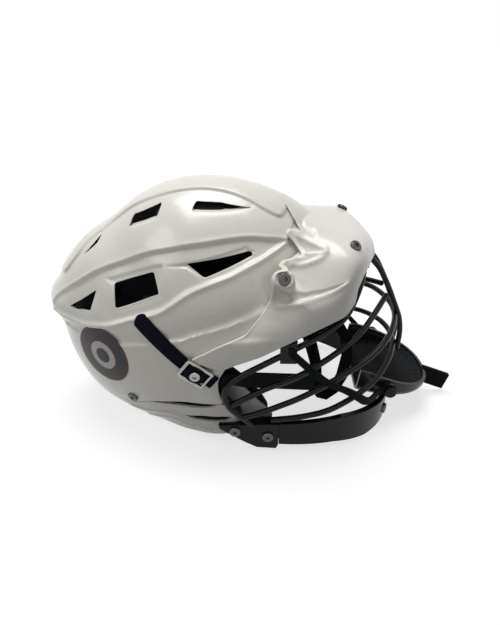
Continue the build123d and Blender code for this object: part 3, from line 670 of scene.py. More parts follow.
shellRelief = {
    # Angle about the form's centre and place across, in degrees and mm
    "crown": (
        (163, 0), (162.5, 10), (161, 19), (158.2, 21.8), (151.7, 20.5), (145.7, 16), (140.5, 13),
        (134.2, 11), (127.1, 11.5), (117.8, 15.1), (110.1, 17.5), (103, 18.2), (97.3, 18), (91.7, 18.2),
        (84, 20.2), (75.9, 24.3), (70.7, 27.6), (65.8, 29.2), (62.6, 28), (61, 20), (60.5, 0),
    ),
    "terrace": (
        (172, 27), (168, 29.5), (164, 34.9), (157.8, 42), (149.3, 47.2), (141.1, 50.5), (131.8, 54.2),
        (121, 58.6), (109.8, 61.8), (97.3, 62), (85.6, 59.2), (71.7, 53), (64.3, 49.6), (56.4, 43.9),
    ),
    "pocket": (
        (173.2, 27), (173.6, 40), (172.6, 53), (170, 63.5), (164.1, 74), (154.5, 79.4), (142.6, 82.9),
        (128.4, 84.3), (115.5, 83.9), (94.2, 80.6), (77.9, 75), (66.2, 64.8), (59.9, 53.9), (56.4, 43.9),
    ),
    "crease": (
        (179.2, 40), (178.3, 50.5), (176, 69.8), (173.9, 79.6), (168.6, 86.6), (159.9, 91.5),
        (148.2, 93.6), (130.4, 94.9), (98, 95.2), (70.6, 92.9), (55.5, 88.4), (50.1, 84.7), (44, 79),
    ),
    "crownRise": 2.0, "crownSlope": 1.5, "bandRise": 0.9, "bandSlope": 2.0, "bandEnd": 170.5,
    "pocketDrop": 1.9, "pocketSlope": 2.4, "cornerEase": 0.45, "cornerFrom": 161.0,
    "ridgeRise": 1.5, "ridgeWidth": 2.6, "brimRise": 0.4, "brimPlace": 2.6, "brimWidth": 1.6,
    "creaseDrop": 1.7, "creaseFade": 11.0, "creaseSlope": 1.6, "creaseRise": 0.7, "creaseWidth": 1.8,
    "ventRound": 2.2, "ventLip": 0.35, "ventLipWidth": 1.5, "hoodDrop": 1.1, "hoodSlope": 1.1,
    "bandFade": 3.0, "cornerFade": 4.0, "ridgePlace": 0.5, "creaseFrom": 5.0, "creaseEase": 3.0,
    # How far from a line or a vent's edge it is felt
    "reach": 14.0, "creaseReach": 34.0, "ventReach": 8.0,
    # The tail behind the band's end: its angle, rise, length along the form, half-width and fade across
    "tail": {"angle": 172.5, "rise": 9.0, "length": 15.0, "halfWidth": 40.0, "fade": 16.0},
}
# The recess over each side vent: share of hoodDrop, and its outline in the side view in mm
ventHoods = (
    (1.0, ((-67, 180), (-2, 193.5), (4.5, 190), (1, 186.5), (-36.5, 174), (-51, 180.5))),
    (1.0, ((-123.5, 160.5), (-78.5, 178.5), (-72, 180), (-75.5, 160), (-113, 143), (-116, 159))),
    (0.2, ((-167, 127.5), (-132.5, 154.5), (-131.5, 151), (-140.5, 131.5), (-156.5, 126.5))),
)


def sideProfileAt(line, angles):
    # The place across of a relief line at each angle, and where the line doesn't reach
    order = np.argsort(line[:, 0])
    found = np.interp(angles, line[order, 0], line[order, 1])
    inside = (angles >= line[:, 0].min()) & (angles <= line[:, 0].max())
    return found, inside


def insideBy(places, outline):
    # How far each place of the side view is inside an outline, in mm, below 0 outside it
    gap = np.full(len(places), far)
    inside = np.zeros(len(places), bool)
    corners = [np.array(corner) for corner in outline]
    for start, end in zip(corners, corners[1:] + corners[:1]):
        run = end - start
        t = np.clip(((places - start) @ run) / (run @ run), 0, 1)
        gap = np.minimum(gap, np.linalg.norm(places - start - t[:, None] * run, axis=1))
        crosses = (start[1] > places[:, 1]) != (end[1] > places[:, 1])
        rise = run[1] if run[1] else 1e-9
        inside ^= crosses & (places[:, 0] < start[0] + (places[:, 1] - start[1]) * run[0] / rise)
    return np.where(inside, gap, -gap)


def shellDisplacement(points):
    # How far each point goes outwards, both in mm and before the shift
    relief = shellRelief
    angle = aboutCentre(points[:, 0], points[:, 2])[0]
    angle = np.where(angle < -120, angle + 360, angle)
    across = np.abs(points[:, 1])
    near = np.stack([points[:, 0], across, points[:, 2]], axis=1)

    def signedGap(name, reach):
        # Distance from a relief line, below 0 on its upper side
        space, flat = surfaceLine(relief[name])
        gap = distances(near, space, reach)
        edge, reached = sideProfileAt(flat, angle)
        return np.where((across < edge) & reached, -gap, gap)

    names = ("crown", "terrace", "pocket")
    crown, terrace, pocket = (signedGap(name, relief["reach"]) for name in names)
    moved = relief["crownRise"] * smoothStep(-crown / relief["crownSlope"])
    inBand = smoothStep((relief["bandEnd"] - angle) / relief["bandFade"])
    inBand = smoothStep(-terrace / relief["bandSlope"]) * inBand
    moved += relief["bandRise"] * inBand
    inPocket = smoothStep(terrace / relief["bandSlope"]) * smoothStep(-pocket / relief["pocketSlope"])
    # Near the rear corner the wall is thinner along its normal, and the pocket shallower
    inCorner = smoothStep((angle - relief["cornerFrom"]) / relief["cornerFade"])
    moved -= relief["pocketDrop"] * (1 - relief["cornerEase"] * inCorner) * inPocket
    moved += relief["ridgeRise"] * bell(pocket - relief["ridgePlace"], relief["ridgeWidth"])
    moved += relief["brimRise"] * bell(terrace + relief["brimPlace"], relief["brimWidth"])
    for share, hood in ventHoods:
        depth = insideBy(points[:, [0, 2]], hood)
        moved -= share * relief["hoodDrop"] * smoothStep(depth / relief["hoodSlope"]) * inPocket
    above = -signedGap("crease", relief["creaseReach"])
    fade = np.where(above > 0, bell(above, relief["creaseFade"]), 1.0)
    outside = smoothStep((pocket - relief["creaseFrom"]) / relief["creaseEase"])
    moved -= relief["creaseDrop"] * fade * smoothStep(above / relief["creaseSlope"]) * outside
    moved += relief["creaseRise"] * bell(above, relief["creaseWidth"])
    tail = relief["tail"]
    behind = bell(np.radians(angle - tail["angle"]) * reachAt(tail["angle"]), tail["length"])
    moved += tail["rise"] * behind * smoothStep((tail["halfWidth"] - across) / tail["fade"])
    for vent in topVents + sideVents:
        loop = rounded([sidePoint(share) for share in vent], relief["ventRound"])
        edge = denseLine(loop + [loop[0]], 0.7)
        space = np.stack([edge[:, 0], formY(edge[:, 0], edge[:, 1]), edge[:, 1]], axis=1)
        gap = distances(near, space, relief["ventReach"])
        moved -= relief["ventLip"] * bell(gap, relief["ventLipWidth"])
    return moved


def finishSurface(obj, angle=35):
    thin = (bpy.ops.mesh.dissolve_degenerate, {"threshold": 0.00001})
    editAll(obj, merging(0.00002), thin, facingOut)
    bpy.ops.object.shade_smooth_by_angle(angle=radians(angle))


# Radius in mm at the outlines' corners, and how much thicker the shell's skin is than the wall
edgeShape = {"shell": 9.0, "guard": 4.0, "slot": 3.0, "visor": 2.5, "extraWall": 1.0}
shellSkin = addForm("shell_skin", *formMesh["shell"], 0, lines=shellRelief)
displace(shellSkin, shellDisplacement)
hollow(shellSkin, -form["wall"] - edgeShape["extraWall"])
cutBySide(shellSkin, shellOutline, edgeShape["shell"], "INTERSECT", 6)
for vent in topVents + sideVents:
    cutBySide(shellSkin, vent, shellRelief["ventRound"], "DIFFERENCE")
finishSurface(shellSkin)
print("shell", len(shellSkin.data.polygons), "faces")


guardOutline = (
    (-0.167, 0.1285), (0.148, 0.1285), (0.27, 0.1415), (0.344, 0.195), (0.407, 0.202), (0.5, 0.209),
    (0.563, 0.226), (0.585, 0.2465), (0.605, 0.2465), (0.656, 0.157), (0.7, 0.061), (0.685, 0.061),
    (0.5, 0.043), (0.259, 0.0), (-0.167, 0.0),
)
guardSlot = (
    (0.463, 0.143), (0.507, 0.13), (0.611, 0.143), (0.633, 0.165), (0.604, 0.174), (0.537, 0.17),
)
guardRelief = {
    "ribs": (
        ((-138, 58), (-132.1, 63.3), (-127, 71.6), (-119.1, 77.4), (-104, 83.5), (-88, 87.5)),
        ((-126.8, 51.5), (-119.4, 69.7), (-107.5, 79.3), (-89.5, 87.8), (-75, 90)),
    ),
    "rise": 1.3, "width": 2.2, "reach": 8.0,
}


def guardDisplacement(points):
    near = np.stack([points[:, 0], np.abs(points[:, 1]), points[:, 2]], axis=1)
    reach = guardRelief["reach"]
    gaps = [distances(near, surfaceLine(rib)[0], reach) for rib in guardRelief["ribs"]]
    return sum(guardRelief["rise"] * bell(gap, guardRelief["width"]) for gap in gaps)


guardLap = {
    "outer": 0.3, "inner": 2.7, "radius": 0,
    "outline": ((-0.167, 0.06), (0.33, 0.06), (0.33, 0.235), (-0.167, 0.235)),
}
guardSkin = addForm("guard_skin", *formMesh["guard"], 0, fineShare=0.62, fineFrom=170.0, fineTo=305.0)
displace(guardSkin, guardDisplacement)
hollow(guardSkin, -form["wall"])
cutBySide(guardSkin, guardOutline, edgeShape["guard"], "INTERSECT")
cutBySide(guardSkin, guardSlot, edgeShape["slot"], "DIFFERENCE")
finishSurface(guardSkin)
lap = addLayer("guard_lap", guardLap)
makeActive(guardSkin)
lap.select_set(True)
bpy.ops.object.join()
print("guard", len(guardSkin.data.polygons), "faces")


visorOutline = (
    (0.5073, 0.4712), (0.58, 0.5188), (0.6276, 0.5436), (0.6778, 0.5641), (0.7196, 0.6208),
    (0.7397, 0.6493), (0.7512, 0.6759), (0.7553, 0.7155), (0.7531, 0.7597), (0.7581, 0.7729),
    (0.7711, 0.7833), (0.8073, 0.786), (0.8444, 0.7979), (0.8471, 0.8038), (0.8009, 0.8604),
    (0.8076, 0.8664), (0.8489, 0.8561), (0.8156, 0.9065), (0.7928, 0.9433), (0.79, 1.174),
    (1.241, 1.174), (1.241, 0.722), (1.07, 0.739), (1.048, 0.726), (1.026, 0.687), (1.022, 0.635),
    (0.993, 0.604), (0.941, 0.591), (0.844, 0.552), (0.722, 0.483), (0.6, 0.43),
)
# x, half-width, lower edge, top and squareness of the visor at that place
visorSections = (
    (0.463, 1.033, 0.39, 1.012, 2.3), (0.6, 1.02, 0.39, 1.012, 2.3), (0.722, 1.0, 0.457, 0.965, 2.3),
    (0.844, 0.95, 0.522, 0.893, 2.5), (0.937, 0.86, 0.565, 0.852, 3.2), (0.985, 0.79, 0.596, 0.836, 4.2),
    (1.022, 0.675, 0.652, 0.824, 4.4), (1.048, 0.56, 0.713, 0.812, 3.4), (1.07, 0.445, 0.73, 0.800, 2.6),
    (1.085, 0.33, 0.73, 0.786, 2.3), (1.1, 0.16, 0.73, 0.762, 2.3),
)
# The blank's wall and floor, how far it stands off the form, and how much more away from its rear
# edge; near the temple screw and below a height it may stand further off
visorShape = {
    "wall": 3.0, "floor": 60.0, "standOff": 3.3, "lift": 0.55, "spread": 11.0, "blend": 3.0,
    "seatReach": 13.0, "seatEase": 14.0, "freeBelow": 118.0, "freeEase": 60.0, "smoothing": 9.0,
    "rearCorners": 19, "seatFade": 5.0, "freeFade": 12.0, "rimReach": 8.0,
    # How far the inner blank runs past the outer one below and behind, and ends before it in front
    "overrun": 4.0, "frontGap": 0.5,
}
visorMesh = {"outer": (230, 260), "inner": (150, 170)}  # stations along it and steps over it
# Scoops: x, upper edge, deepest line, lower edge and depth along each
visorScoops = (
    ((21, 171.5, 165.5, 155, 2), (23.3, 171.8, 164.6, 154, 4), (26.9, 168.6, 161.8, 154.3, 4.8),
     (35.3, 163.5, 159.2, 156, 4.2), (46.5, 161.7, 159.9, 158, 3), (60.2, 163.8, 162.4, 160.9, 2.2),
     (71, 166.6, 165.4, 164.1, 1.4), (81, 169.9, 169.6, 169.3, 0.2)),
    ((36, 196.4, 196.2, 195.8, 0), (42.4, 194, 191.4, 190.4, 3), (48.9, 191.9, 186.8, 185.5, 4.6),
     (57.2, 189.6, 187.3, 186.4, 3), (64.6, 187.7, 187.5, 187.2, 0.2)),
)
# Rise, width and course of each rim over the side
visorRims = (
    (0.9, 1.8, ((25.6, 152.6), (32.7, 154.3), (43.6, 156.4), (56.5, 158.6), (69.2, 162.4),
                (81.1, 168.3))),
    (1.2, 2.0, ((64.6, 187.3), (60.7, 183.6), (51.5, 179.8), (42.3, 177.5), (36.0, 178.5))),
    (0.7, 1.2, ((47.5, 185.0), (49.5, 184.9), (57.2, 185.9), (64.6, 187.0))),
    (-1.5, 1.8, ((36.7, 210.9), (43.4, 203.5), (47.8, 198.5), (54.4, 196.0))),
)
# The way each screw faces, its pocket's radius, and the rim round it
visorScrews = (
    {"node": "temple_screws", "way": (0.385, -0.809, 0.444), "pocket": 5.6, "radius": 6.8,
     "rise": 1.3, "width": 1.3},
    {"node": "front_visor_screws", "way": (0.462, -0.444, 0.767), "pocket": 5.3, "radius": 6.4,
     "rise": 0.4, "width": 1.2},
)
screwShape = {"head": 2.2, "pocketDepth": 14.0, "rimReach": 14.0, "sides": 64}


def sectionAt(x):
    table = np.array(visorSections)
    places = rearX + table[:, 0] * form["length"]
    sizes = (form["halfWidth"], form["height"], form["height"], 1)
    return [np.interp(x, places, table[:, k + 1]) * size for k, size in enumerate(sizes)]


def smoothSections(x):
    # The table's values with its corners smoothed along x
    reach = visorShape["smoothing"]
    steps = np.linspace(-reach, reach, 13)
    weight = np.cos(steps / reach * pi / 2) ** 2
    stacked = [sectionAt(x + step) for step in steps]
    return [sum(w * s[k] for w, s in zip(weight, stacked)) / weight.sum() for k in range(4)]


def visorRelief(points):
    moved = np.zeros(len(points))
    x, z = points[:, 0], points[:, 2]
    for scoop in visorScoops:
        places, top, deep, low, depth = np.array(scoop).T
        top, deep, low, depth = (np.interp(x, places, values) for values in (top, deep, low, depth))
        upper = (top - z) / np.maximum(top - deep, 0.2)
        lower = (z - low) / np.maximum(deep - low, 0.2)
        within = (x >= places[0]) & (x <= places[-1])
        share = within * np.clip(np.minimum(upper, lower), 0, 1)
        moved -= depth * share * (2 - share)
    for rise, width, course in visorRims:
        line = np.insert(denseLine(course), 1, 0, axis=1)
        moved += rise * bell(distances(points * (1, 0, 1), line, visorShape["rimReach"]), width)
    for screw, (seat, way) in zip(visorScrews, visorSeats):
        away = mirrored(points) - seat
        along = away @ way
        gap = np.linalg.norm(away - along[:, None] * way, axis=1)
        gap[np.abs(along) > screwShape["rimReach"]] = far
        moved += screw["rise"] * bell(gap - screw["radius"], screw["width"])
    return moved


def offForm(points):
    # The form's centre, each point's way from there to the form, its length, and the gap in mm
    centre = np.array([form["centre"][0], 0.0, form["centre"][1]])
    angle, reach = aboutCentre(points[:, 0], points[:, 2])
    power = form["power"]
    share = (reach / reachAt(angle)) ** power + (np.abs(points[:, 1]) / form["halfWidth"]) ** power
    share = share ** (1 / power)
    way = (points - centre) / share[:, None]
    size = np.linalg.norm(way, axis=1)
    return centre, way, size, (share - 1) * size


def atLeast(points, least):
    # Points nearer the form than least, in mm, are brought out to it
    centre, way, size, gap = offForm(points)
    return centre + way * (1 + np.maximum(gap, least) / size)[:, None]


def rearEdgeGap(points):
    # How far each point is from the visor's rear edge in the side view, in mm
    corners = [np.array(sidePoint(share)) for share in visorOutline[:visorShape["rearCorners"]]]
    line = []
    for start, end in zip(corners[:-1], corners[1:]):
        steps = max(2, int(np.linalg.norm(end - start)))
        line += [start + (end - start) * k / steps for k in range(steps)]
    return distances(points * (1, 0, 1), np.insert(line, 1, 0, axis=1), far)


def visorSurface(x, arch, floor):
    # The arched body of the visor; arch runs from -1 to 1 over it, and beyond that down to the floor
    shape = visorShape
    width, edge, top, squareness = smoothSections(x)
    angle = np.clip(arch, -1, 1) * pi / 2
    power = 2 / squareness
    y = width * np.sign(angle) * np.abs(np.sin(angle)) ** power
    z = edge + (top - edge) * np.cos(angle).clip(0, 1) ** power
    points = np.stack([x, y, z], axis=1)
    raised = np.abs(arch) <= 1
    body = atLeast(points[raised], shape["standOff"])
    centre, way, size, offset = offForm(body)
    gap = rearEdgeGap(body)
    allowed = shape["standOff"] + shape["lift"] * gap + (gap / shape["spread"]) ** 2
    fromSeat = np.linalg.norm(mirrored(body) - visorSeats[0][0], axis=1)
    allowed += shape["seatEase"] * smoothStep((shape["seatReach"] - fromSeat) / shape["seatFade"])
    allowed += shape["freeEase"] * smoothStep((shape["freeBelow"] - body[:, 2]) / shape["freeFade"])
    excess = (offset - allowed) / shape["blend"]
    offset = np.maximum(offset - shape["blend"] * np.logaddexp(0, excess), shape["standOff"])
    points[raised] = centre + way * (1 + offset / size)[:, None]
    points[~raised, 2] = floor
    return points


def mirrored(points):
    return np.stack([points[:, 0], -np.abs(points[:, 1]), points[:, 2]], axis=1)


def lowered(relief, reach=3):
    # The relief's lowest values nearby, softened, for the inner face under it
    for combined in (np.min, np.mean):
        for axis in (0, 1):
            steps = range(-reach, reach + 1)
            relief = combined([np.roll(relief, step, axis=axis) for step in steps], axis=0)
    return relief


def addVisorBody(name, inward, stations, steps):
    obj = addObject(name, bpy.ops.mesh.primitive_grid_add, x_subdivisions=stations,
                    y_subdivisions=steps + 3, size=2)
    flat = readPoints(obj)
    column = np.rint((flat[:, 0] + 1) / 2 * stations).astype(int)
    row = np.rint((flat[:, 1] + 1) / 2 * (steps + 3)).astype(int)
    row[row == steps + 3] = 0
    low, high = (rearX + visorSections[k][0] * form["length"] for k in (0, -1))
    x = low + (high - low) * column / stations
    arch = np.where(row <= steps, -1 + 2 * row / steps, np.where(row == steps + 1, 1.5, -1.5))
    points = visorSurface(x, arch, visorShape["floor"])
    table = np.zeros((steps + 1, stations + 1, 3))
    on = row <= steps
    table[row[on], column[on]] = points[on]
    normal = np.cross(np.gradient(table, axis=1), np.gradient(table, axis=0))
    normal /= np.linalg.norm(normal, axis=2)[:, :, None] + 1e-9
    if normal[steps // 2, stations // 2, 2] < 0:
        normal = -normal
    relief = visorRelief(table.reshape(-1, 3)).reshape(steps + 1, stations + 1)
    if inward:
        relief = np.minimum(lowered(relief), 0) - inward
    table += normal * relief[:, :, None]
    table = atLeast(table.reshape(-1, 3), visorShape["standOff"] - inward).reshape(table.shape)
    points[on] = table[row[on], column[on]]
    foot = row > steps
    points[foot, 1] = np.where(arch > 0, table[steps, column, 1], table[0, column, 1])[foot]
    if inward:
        points[foot, 2] -= visorShape["overrun"]
        points[column == 0, 0] -= visorShape["overrun"]
        points[column == stations, 0] -= visorShape["frontGap"]
    writePoints(obj, (points + shift) * mm)
    editAll(obj, merging(0.000001), (bpy.ops.mesh.fill_holes, {"sides": 0}), facingOut)
    return obj


def screwSeat(screw):
    # Where the right screw's head meets what it clamps, from the node itself, and the way it faces
    way = np.array(screw["way"]) / np.linalg.norm(screw["way"])
    points = readPoints(nodes[screw["node"]]) / mm
    points = points[points[:, 1] < 0]
    along = points @ way
    top = points[along > along.max() - 0.2].mean(axis=0)
    return top - way * screwShape["head"] - shift, way


def sinkScrew(obj, seat, way, radius):
    # A round pocket over a screw's head, at both sides
    sides, depth = screwShape["sides"], screwShape["pocketDepth"] * mm
    for side in (1, -1):
        flip = np.array([1, side, 1])
        cutter = addObject("sink", bpy.ops.mesh.primitive_cylinder_add, vertices=sides, depth=depth,
                           radius=radius * mm)
        cutter.location = ((seat + shift) * mm + way * depth / 2) * flip
        cutter.rotation_euler = Vector(way * flip).to_track_quat("Z", "Y").to_euler()
        makeActive(cutter)
        bpy.ops.object.transform_apply(location=True, rotation=True, scale=True)
        combine(obj, cutter, "DIFFERENCE")


visorSeats = [screwSeat(screw) for screw in visorScrews]
visorSkin = addVisorBody("visor_skin", 0.0, *visorMesh["outer"])
cutBySide(visorSkin, visorOutline, edgeShape["visor"], "INTERSECT")
visorInside = addVisorBody("visor_inside", visorShape["wall"], *visorMesh["inner"])
combine(visorSkin, visorInside, "DIFFERENCE")
for screw, (seat, way) in zip(visorScrews, visorSeats):
    sinkScrew(visorSkin, seat, way, screw["pocket"])
finishSurface(visorSkin, 40)
print("visor", len(visorSkin.data.polygons), "faces")


def dress(obj, finish, slot, *replaced, body="helmet"):
    setMaterial(obj, finishes[finish])
    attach(obj, body)
    if replaced:
        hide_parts(*replaced)


def darkenInside(obj, finish, depth):
    # Faces deeper in the wall than depth, in mm, get the dark lining's finish
    obj.data.materials.append(finishes[finish])
    offset = offForm(readVectors(obj.data.polygons, "center") / mm - shift)[3]
    slots = np.where(offset < -depth, 1, 0).astype(np.int32)
    obj.data.polygons.foreach_set("material_index", slots)


dress(shellSkin, "shellWhite", "shell", "shell")
darkenInside(shellSkin, "lining", 3.8)
dress(guardSkin, "guardWhite", "guard", "lower_guard")
dress(visorSkin, "visorWhite", "visor", "visor")

# A thin dark lining shuts off the view through the slots beside the guard
slotLining = {
    "outer": 1.3, "inner": 2.7, "radius": 5.0,
    "outline": ((0.40, 0.10), (0.665, 0.10), (0.66, 0.2), (0.60, 0.30), (0.40, 0.30)),
}
slotBacking = addLayer("slot_backing", slotLining)
finishSurface(slotBacking)
dress(slotBacking, "lining", "pad")

# A lip on each bracket closes the seam before the chin guard
bracketLip = {
    "outline": ((27.98, 10.5), (33.0, 12.5), (33.0, 29.5), (27.98, 31.5)), "outer": 89.3, "inner": 87.3,
}
for side, way in (("left", 1), ("right", -1)):
    low, high = sorted((way * bracketLip["outer"], way * bracketLip["inner"]))
    lip = addPrism("chin_guard_lip_" + side, rounded(bracketLip["outline"], 1.5), low, high)
    finishSurface(lip)
    dress(lip, "blackGloss", "bracket")


padShape = {"voxel": 2.0, "rounds": 5, "rise": 0.7, "channelDepth": 1.3, "channelWidth": 1.6}
# Sewn channels lie where a coordinate has these values, in mm in the frame
padPieces = (
    {"node": "front_pad", "axis": 1, "channels": (-19.0, 19.0), "fill": 0.8},
    {"node": "crown_pad", "axis": 0, "channels": (-63.0, -33.0), "fill": 0.8},
    {"node": "back_pad", "axis": 1, "channels": (-16.0, 16.0), "fill": 0.8},
    {"node": "side_pad", "axis": 0, "channels": (-76.0, -50.0), "fill": 0.8},
    {"node": "jaw_pad", "axis": 2, "channels": (55.0,), "fill": 0.9},
    {"node": "fit_plate_pad", "axis": 1, "channels": (-15.0, 15.0), "fill": 0.8, "body": "fit_plate"},
)


def addFoam(node, name, voxel, rounds):
    foam = copyOfNode(node, name)
    addModifier(foam, "REMESH", mode="VOXEL", voxel_size=voxel * mm, use_smooth_shade=True)
    addModifier(foam, "SMOOTH", factor=0.5, iterations=rounds)
    return foam


def addPad(node, settings):
    # Rounded, crowned between its sewn channels
    pad = addFoam(node, node + "_cover", padShape["voxel"], padShape["rounds"])

    def crowned(points):
        along = points[:, settings["axis"]]
        gap = np.min([np.abs(along - place) for place in settings["channels"]], axis=0)
        return padShape["rise"] - padShape["channelDepth"] * bell(gap, padShape["channelWidth"])

    displace(pad, crowned, 0)
    dress(pad, "foam", "pad", node, body=settings.get("body", "helmet"))


for settings in padPieces:
    for node in sidesOf(settings["node"]):
        addPad(node, settings)
print("pads made")


strapPieces = (
    {"node": "side_strap", "finish": "sideWebbing", "slot": "webbing", "edge": 0.5, "tip": 7.0},
    {"node": "strap_band", "finish": "bandWebbing", "slot": "band", "edge": 0.5},
    {"node": "chin_strap", "finish": "chinWebbing", "slot": "webbing", "edge": 0.6, "narrow": 0.66},
    {"node": "inner_strap", "finish": "innerWebbing", "slot": "webbing", "edge": 0.6},
    {"node": "chin_cup_tab", "finish": "chinWebbing", "slot": "cup_tab", "edge": 0.8,
     "body": "chin_cup"},
)
chinStrapRoute = (
    (0.81, 0.985, 0.51), (0.93, 0.99, 0.37), (1.02, 0.92, 0.3), (1.085, 0.82, 0.215),
    (1.13, 0.62, 0.18), (1.15, 0.525, 0.172), (1.21, 0.525, 0.17),
)
# Where the chin strap's eyed end starts and how soon it is full, in mm in the frame
strapShape = {"eyeStart": 104, "eyeFade": 6, "bevels": 3, "sharp": 40, "smooth": 50}


def narrowStrap(strap, share):
    # Draws the strap's width in towards its own middle line, apart from its eyed end
    route = np.array(chinStrapRoute) * (form["length"], form["halfWidth"], form["height"])
    tree = toTree(denseLine(route + (rearX, 0, 0), 1.0) + shift)
    points = readPoints(strap) / mm
    for point in points:
        near = tree.find((point[0], abs(point[1]), point[2]))[0]
        keep = 1 - (1 - share) * smoothStep((strapShape["eyeStart"] - point[0]) / strapShape["eyeFade"])
        point[2] = near[2] + (point[2] - near[2]) * keep
    writePoints(strap, points * mm)


strapTip = {
    "upwards": (-0.79864, 0.60182), "sideways": (0.60182, 0.79864), "sample": 30, "turns": 17,
    # The cutter runs wider than the tip, past the strap's lower end and sides, and this far out
    "slack": 0.3, "below": 20, "beside": 40, "from": 20, "to": 140,
}


def roundTip(strap, cut):
    # Shortens the strap by cut, in mm, at its upper end and rounds its tip
    points = readPoints(strap)[:, [0, 2]] / mm - (shiftX, 0)
    upwards, sideways = np.array(strapTip["upwards"]), np.array(strapTip["sideways"])
    along, across = points @ upwards, points @ sideways
    top, bottom = along.max() - cut, along.min() - strapTip["below"]
    end = across[along > along.max() - strapTip["sample"]]
    middle, radius = (end.min() + end.max()) / 2, (end.max() - end.min()) / 2
    wide, beside = radius + strapTip["slack"], strapTip["beside"]
    turns = np.radians(np.linspace(0, 180, strapTip["turns"]))
    loop = [(top - radius + radius * sin(turn), middle + wide * cos(turn)) for turn in turns]
    loop += [(bottom, middle - beside), (bottom, middle + beside)]
    outline = [upwards * up + sideways * side for up, side in loop]
    side = -1 if strap.name.find("right") >= 0 else 1
    low, high = sorted((side * strapTip["from"], side * strapTip["to"]))
    combine(strap, addPrism("tip_cut", outline, low, high), "INTERSECT")


def addStrap(node, settings):
    strap = copyOfNode(node, node + "_webbing")
    if "tip" in settings:
        roundTip(strap, settings["tip"])
    if "narrow" in settings:
        narrowStrap(strap, settings["narrow"])
    addModifier(strap, "BEVEL", width=settings["edge"] * mm, segments=strapShape["bevels"],
                limit_method="ANGLE", angle_limit=radians(strapShape["sharp"]), use_clamp_overlap=True)
    finishSurface(strap, strapShape["smooth"])
    dress(strap, settings["finish"], settings["slot"], node, body=settings.get("body", "helmet"))


for settings in strapPieces:
    for node in sidesOf(settings["node"]):
        addStrap(node, settings)
print("straps made")


cupShape = {
    "voxel": 1.1, "rounds": 3, "ribs": 15, "rise": 0.45, "centre": (130, 0), "halfSize": (40, 47),
    # Share of the cup's size where the ribs start and end
    "from": 0.55, "to": 0.93, "fadeIn": 0.2, "fadeOut": 0.05, "fill": 0.9,
}


def ribbed(points):
    # Ribs run down the cup's sides towards its middle
    x, y = ((points[:, :2] - cupShape["centre"]) / cupShape["halfSize"]).T
    reach = np.hypot(x, y)
    within = smoothStep((reach - cupShape["from"]) / cupShape["fadeIn"])
    within *= smoothStep((cupShape["to"] - reach) / cupShape["fadeOut"])
    return cupShape["rise"] * np.cos(np.arctan2(y, x) * cupShape["ribs"] * 2) * within


cupLiner = addFoam("chin_cup_liner", "chin_cup_liner_foam", cupShape["voxel"], cupShape["rounds"])
displace(cupLiner, ribbed, 0)
dress(cupLiner, "cupFoam", "cup_liner", "chin_cup_liner", body="chin_cup")
print("cup liner made")


nodeFinishes = {
    "jawWhite": ["jaw_plate"],
    "blackGloss": ["chin_guard", "chin_guard_brackets", "mask_front_clip", "mask_side_clips"],
    "blackMatte": ["fit_plate", "fit_plate_hinge_blocks", "chin_cup_pins"],
    "wireBlack": ["mask_edge_wire", "mask_middle_wire", "mask_lower_wire", "mask_upper_wires",
                  "mask_upright_wires"],
    "steel": ["temple_screws", "guard_screws", "front_visor_screws", "chin_guard_studs",
              "bracket_screws", "screw_nuts", "fit_plate_hinge_pin"],
    "plated": ["buckle", "strap_rivets"],
    "cupGrey": ["chin_cup"],
    "roundelPrint": ["roundel"],
}
for finish, names in nodeFinishes.items():
    for name in names:
        for node in sidesOf(name):
            for slot in nodes[node].material_slots:
                slot.material = finishes[finish]
print("nodes dressed")


stageLook = {
    "floorBounce": 0.35, "floorShade": 0.42, "floorPaper": 0.40, "floorGlow": 0.72,
    "floorRadius": 4.0, "paper": (3, 2), "paperShare": 0.03,
    # Between these distances, in m, the floor's glow rises to full
    "glowFrom": 0.25, "glowTo": 0.8, "floorDrop": 0.0006, "ambient": 0.11,
}


def seenDirectly(tree):
    # 1 for rays from the camera, reflections and rays through something clear
    path = addNode(tree, "LightPath").outputs
    total = path["Is Camera Ray"]
    for name in ("Is Glossy Ray", "Is Transmission Ray"):
        total = addMath(tree, "MAXIMUM", total, path[name])
    return total


def grey(level):
    return (level,) * 3


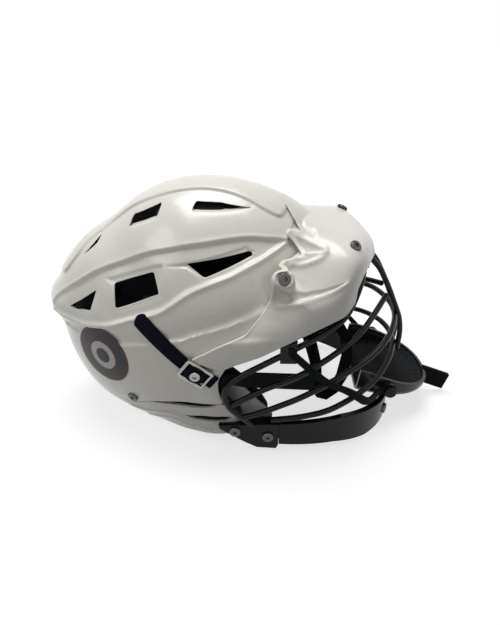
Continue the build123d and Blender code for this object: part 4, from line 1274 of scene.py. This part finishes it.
floor = addObject("floor", bpy.ops.mesh.primitive_circle_add, vertices=96, fill_type="NGON",
                  radius=stageLook["floorRadius"], location=(0, 0, -stageLook["floorDrop"]))
material, tree, shader = newMaterial("floorPaper")
where = objectCoordinates(tree)
paper = addMap(tree, addNoise(tree, where, *stageLook["paper"]), 0.0, stageLook["paperShare"])
seen = seenDirectly(tree)
shade = addMix(tree, paper, grey(stageLook["floorShade"]), grey(stageLook["floorPaper"]))
brighter = addMap(tree, addLength(tree, where), stageLook["floorGlow"], 1.0, stageLook["glowFrom"],
                  stageLook["glowTo"])
setInputs(shader, BaseColor=addMix(tree, seen, grey(stageLook["floorBounce"]), shade),
          EmissionColor=(*white, 1), EmissionStrength=addMath(tree, "MULTIPLY", brighter, seen),
          Roughness=0.9, SpecularIORLevel=0.0)
setMaterial(floor, material)

world = bpy.data.worlds.new("studio")
bpy.context.scene.world = world
world.use_nodes = True
tree = world.node_tree
background = next(node for node in tree.nodes if node.type == "BACKGROUND")
ambient = addMap(tree, seenDirectly(tree), stageLook["ambient"], 1.0)
setInputs(background, Color=(*white, 1), Strength=ambient)


# Where each light stands, its two sides in m and its power; all face lightTarget
lights = {
    "key_light": ((-0.1, 0.25, 1.5), (1.0, 0.8), 16.3),
    "rim_light": ((-0.9, -0.5, 1.0), (0.6, 0.6), 3.2),
    "fill_light": ((0.8, -1.3, 0.5), (0.8, 0.8), 0.6),
}
lightTarget = (0, 0, 0.1)
cameraLook = {
    "place": (-0.004715, -0.47994, 0.38342), "target": (-0.013095, 0.0, 0.095),
    "sensor": 36, "lens": 32.256,
}


def facing(place, target):
    return (Vector(target) - Vector(place)).to_track_quat("-Z", "Y").to_euler()


for name, (place, size, power) in lights.items():
    lamp = addObject(name, bpy.ops.object.light_add, type="AREA", location=place)
    lamp.data.shape = "RECTANGLE"
    lamp.data.size, lamp.data.size_y = size
    lamp.data.energy = power
    lamp.rotation_euler = facing(place, lightTarget)

camera = addObject("main_camera", bpy.ops.object.camera_add, location=cameraLook["place"])
camera.rotation_euler = facing(cameraLook["place"], cameraLook["target"])
camera.data.sensor_fit = "VERTICAL"
camera.data.sensor_height = cameraLook["sensor"]
camera.data.lens = cameraLook["lens"]
camera.data.clip_start = 0.01
bpy.context.scene.camera = camera
bpy.context.scene.view_settings.view_transform = "Standard"
print("stage set")
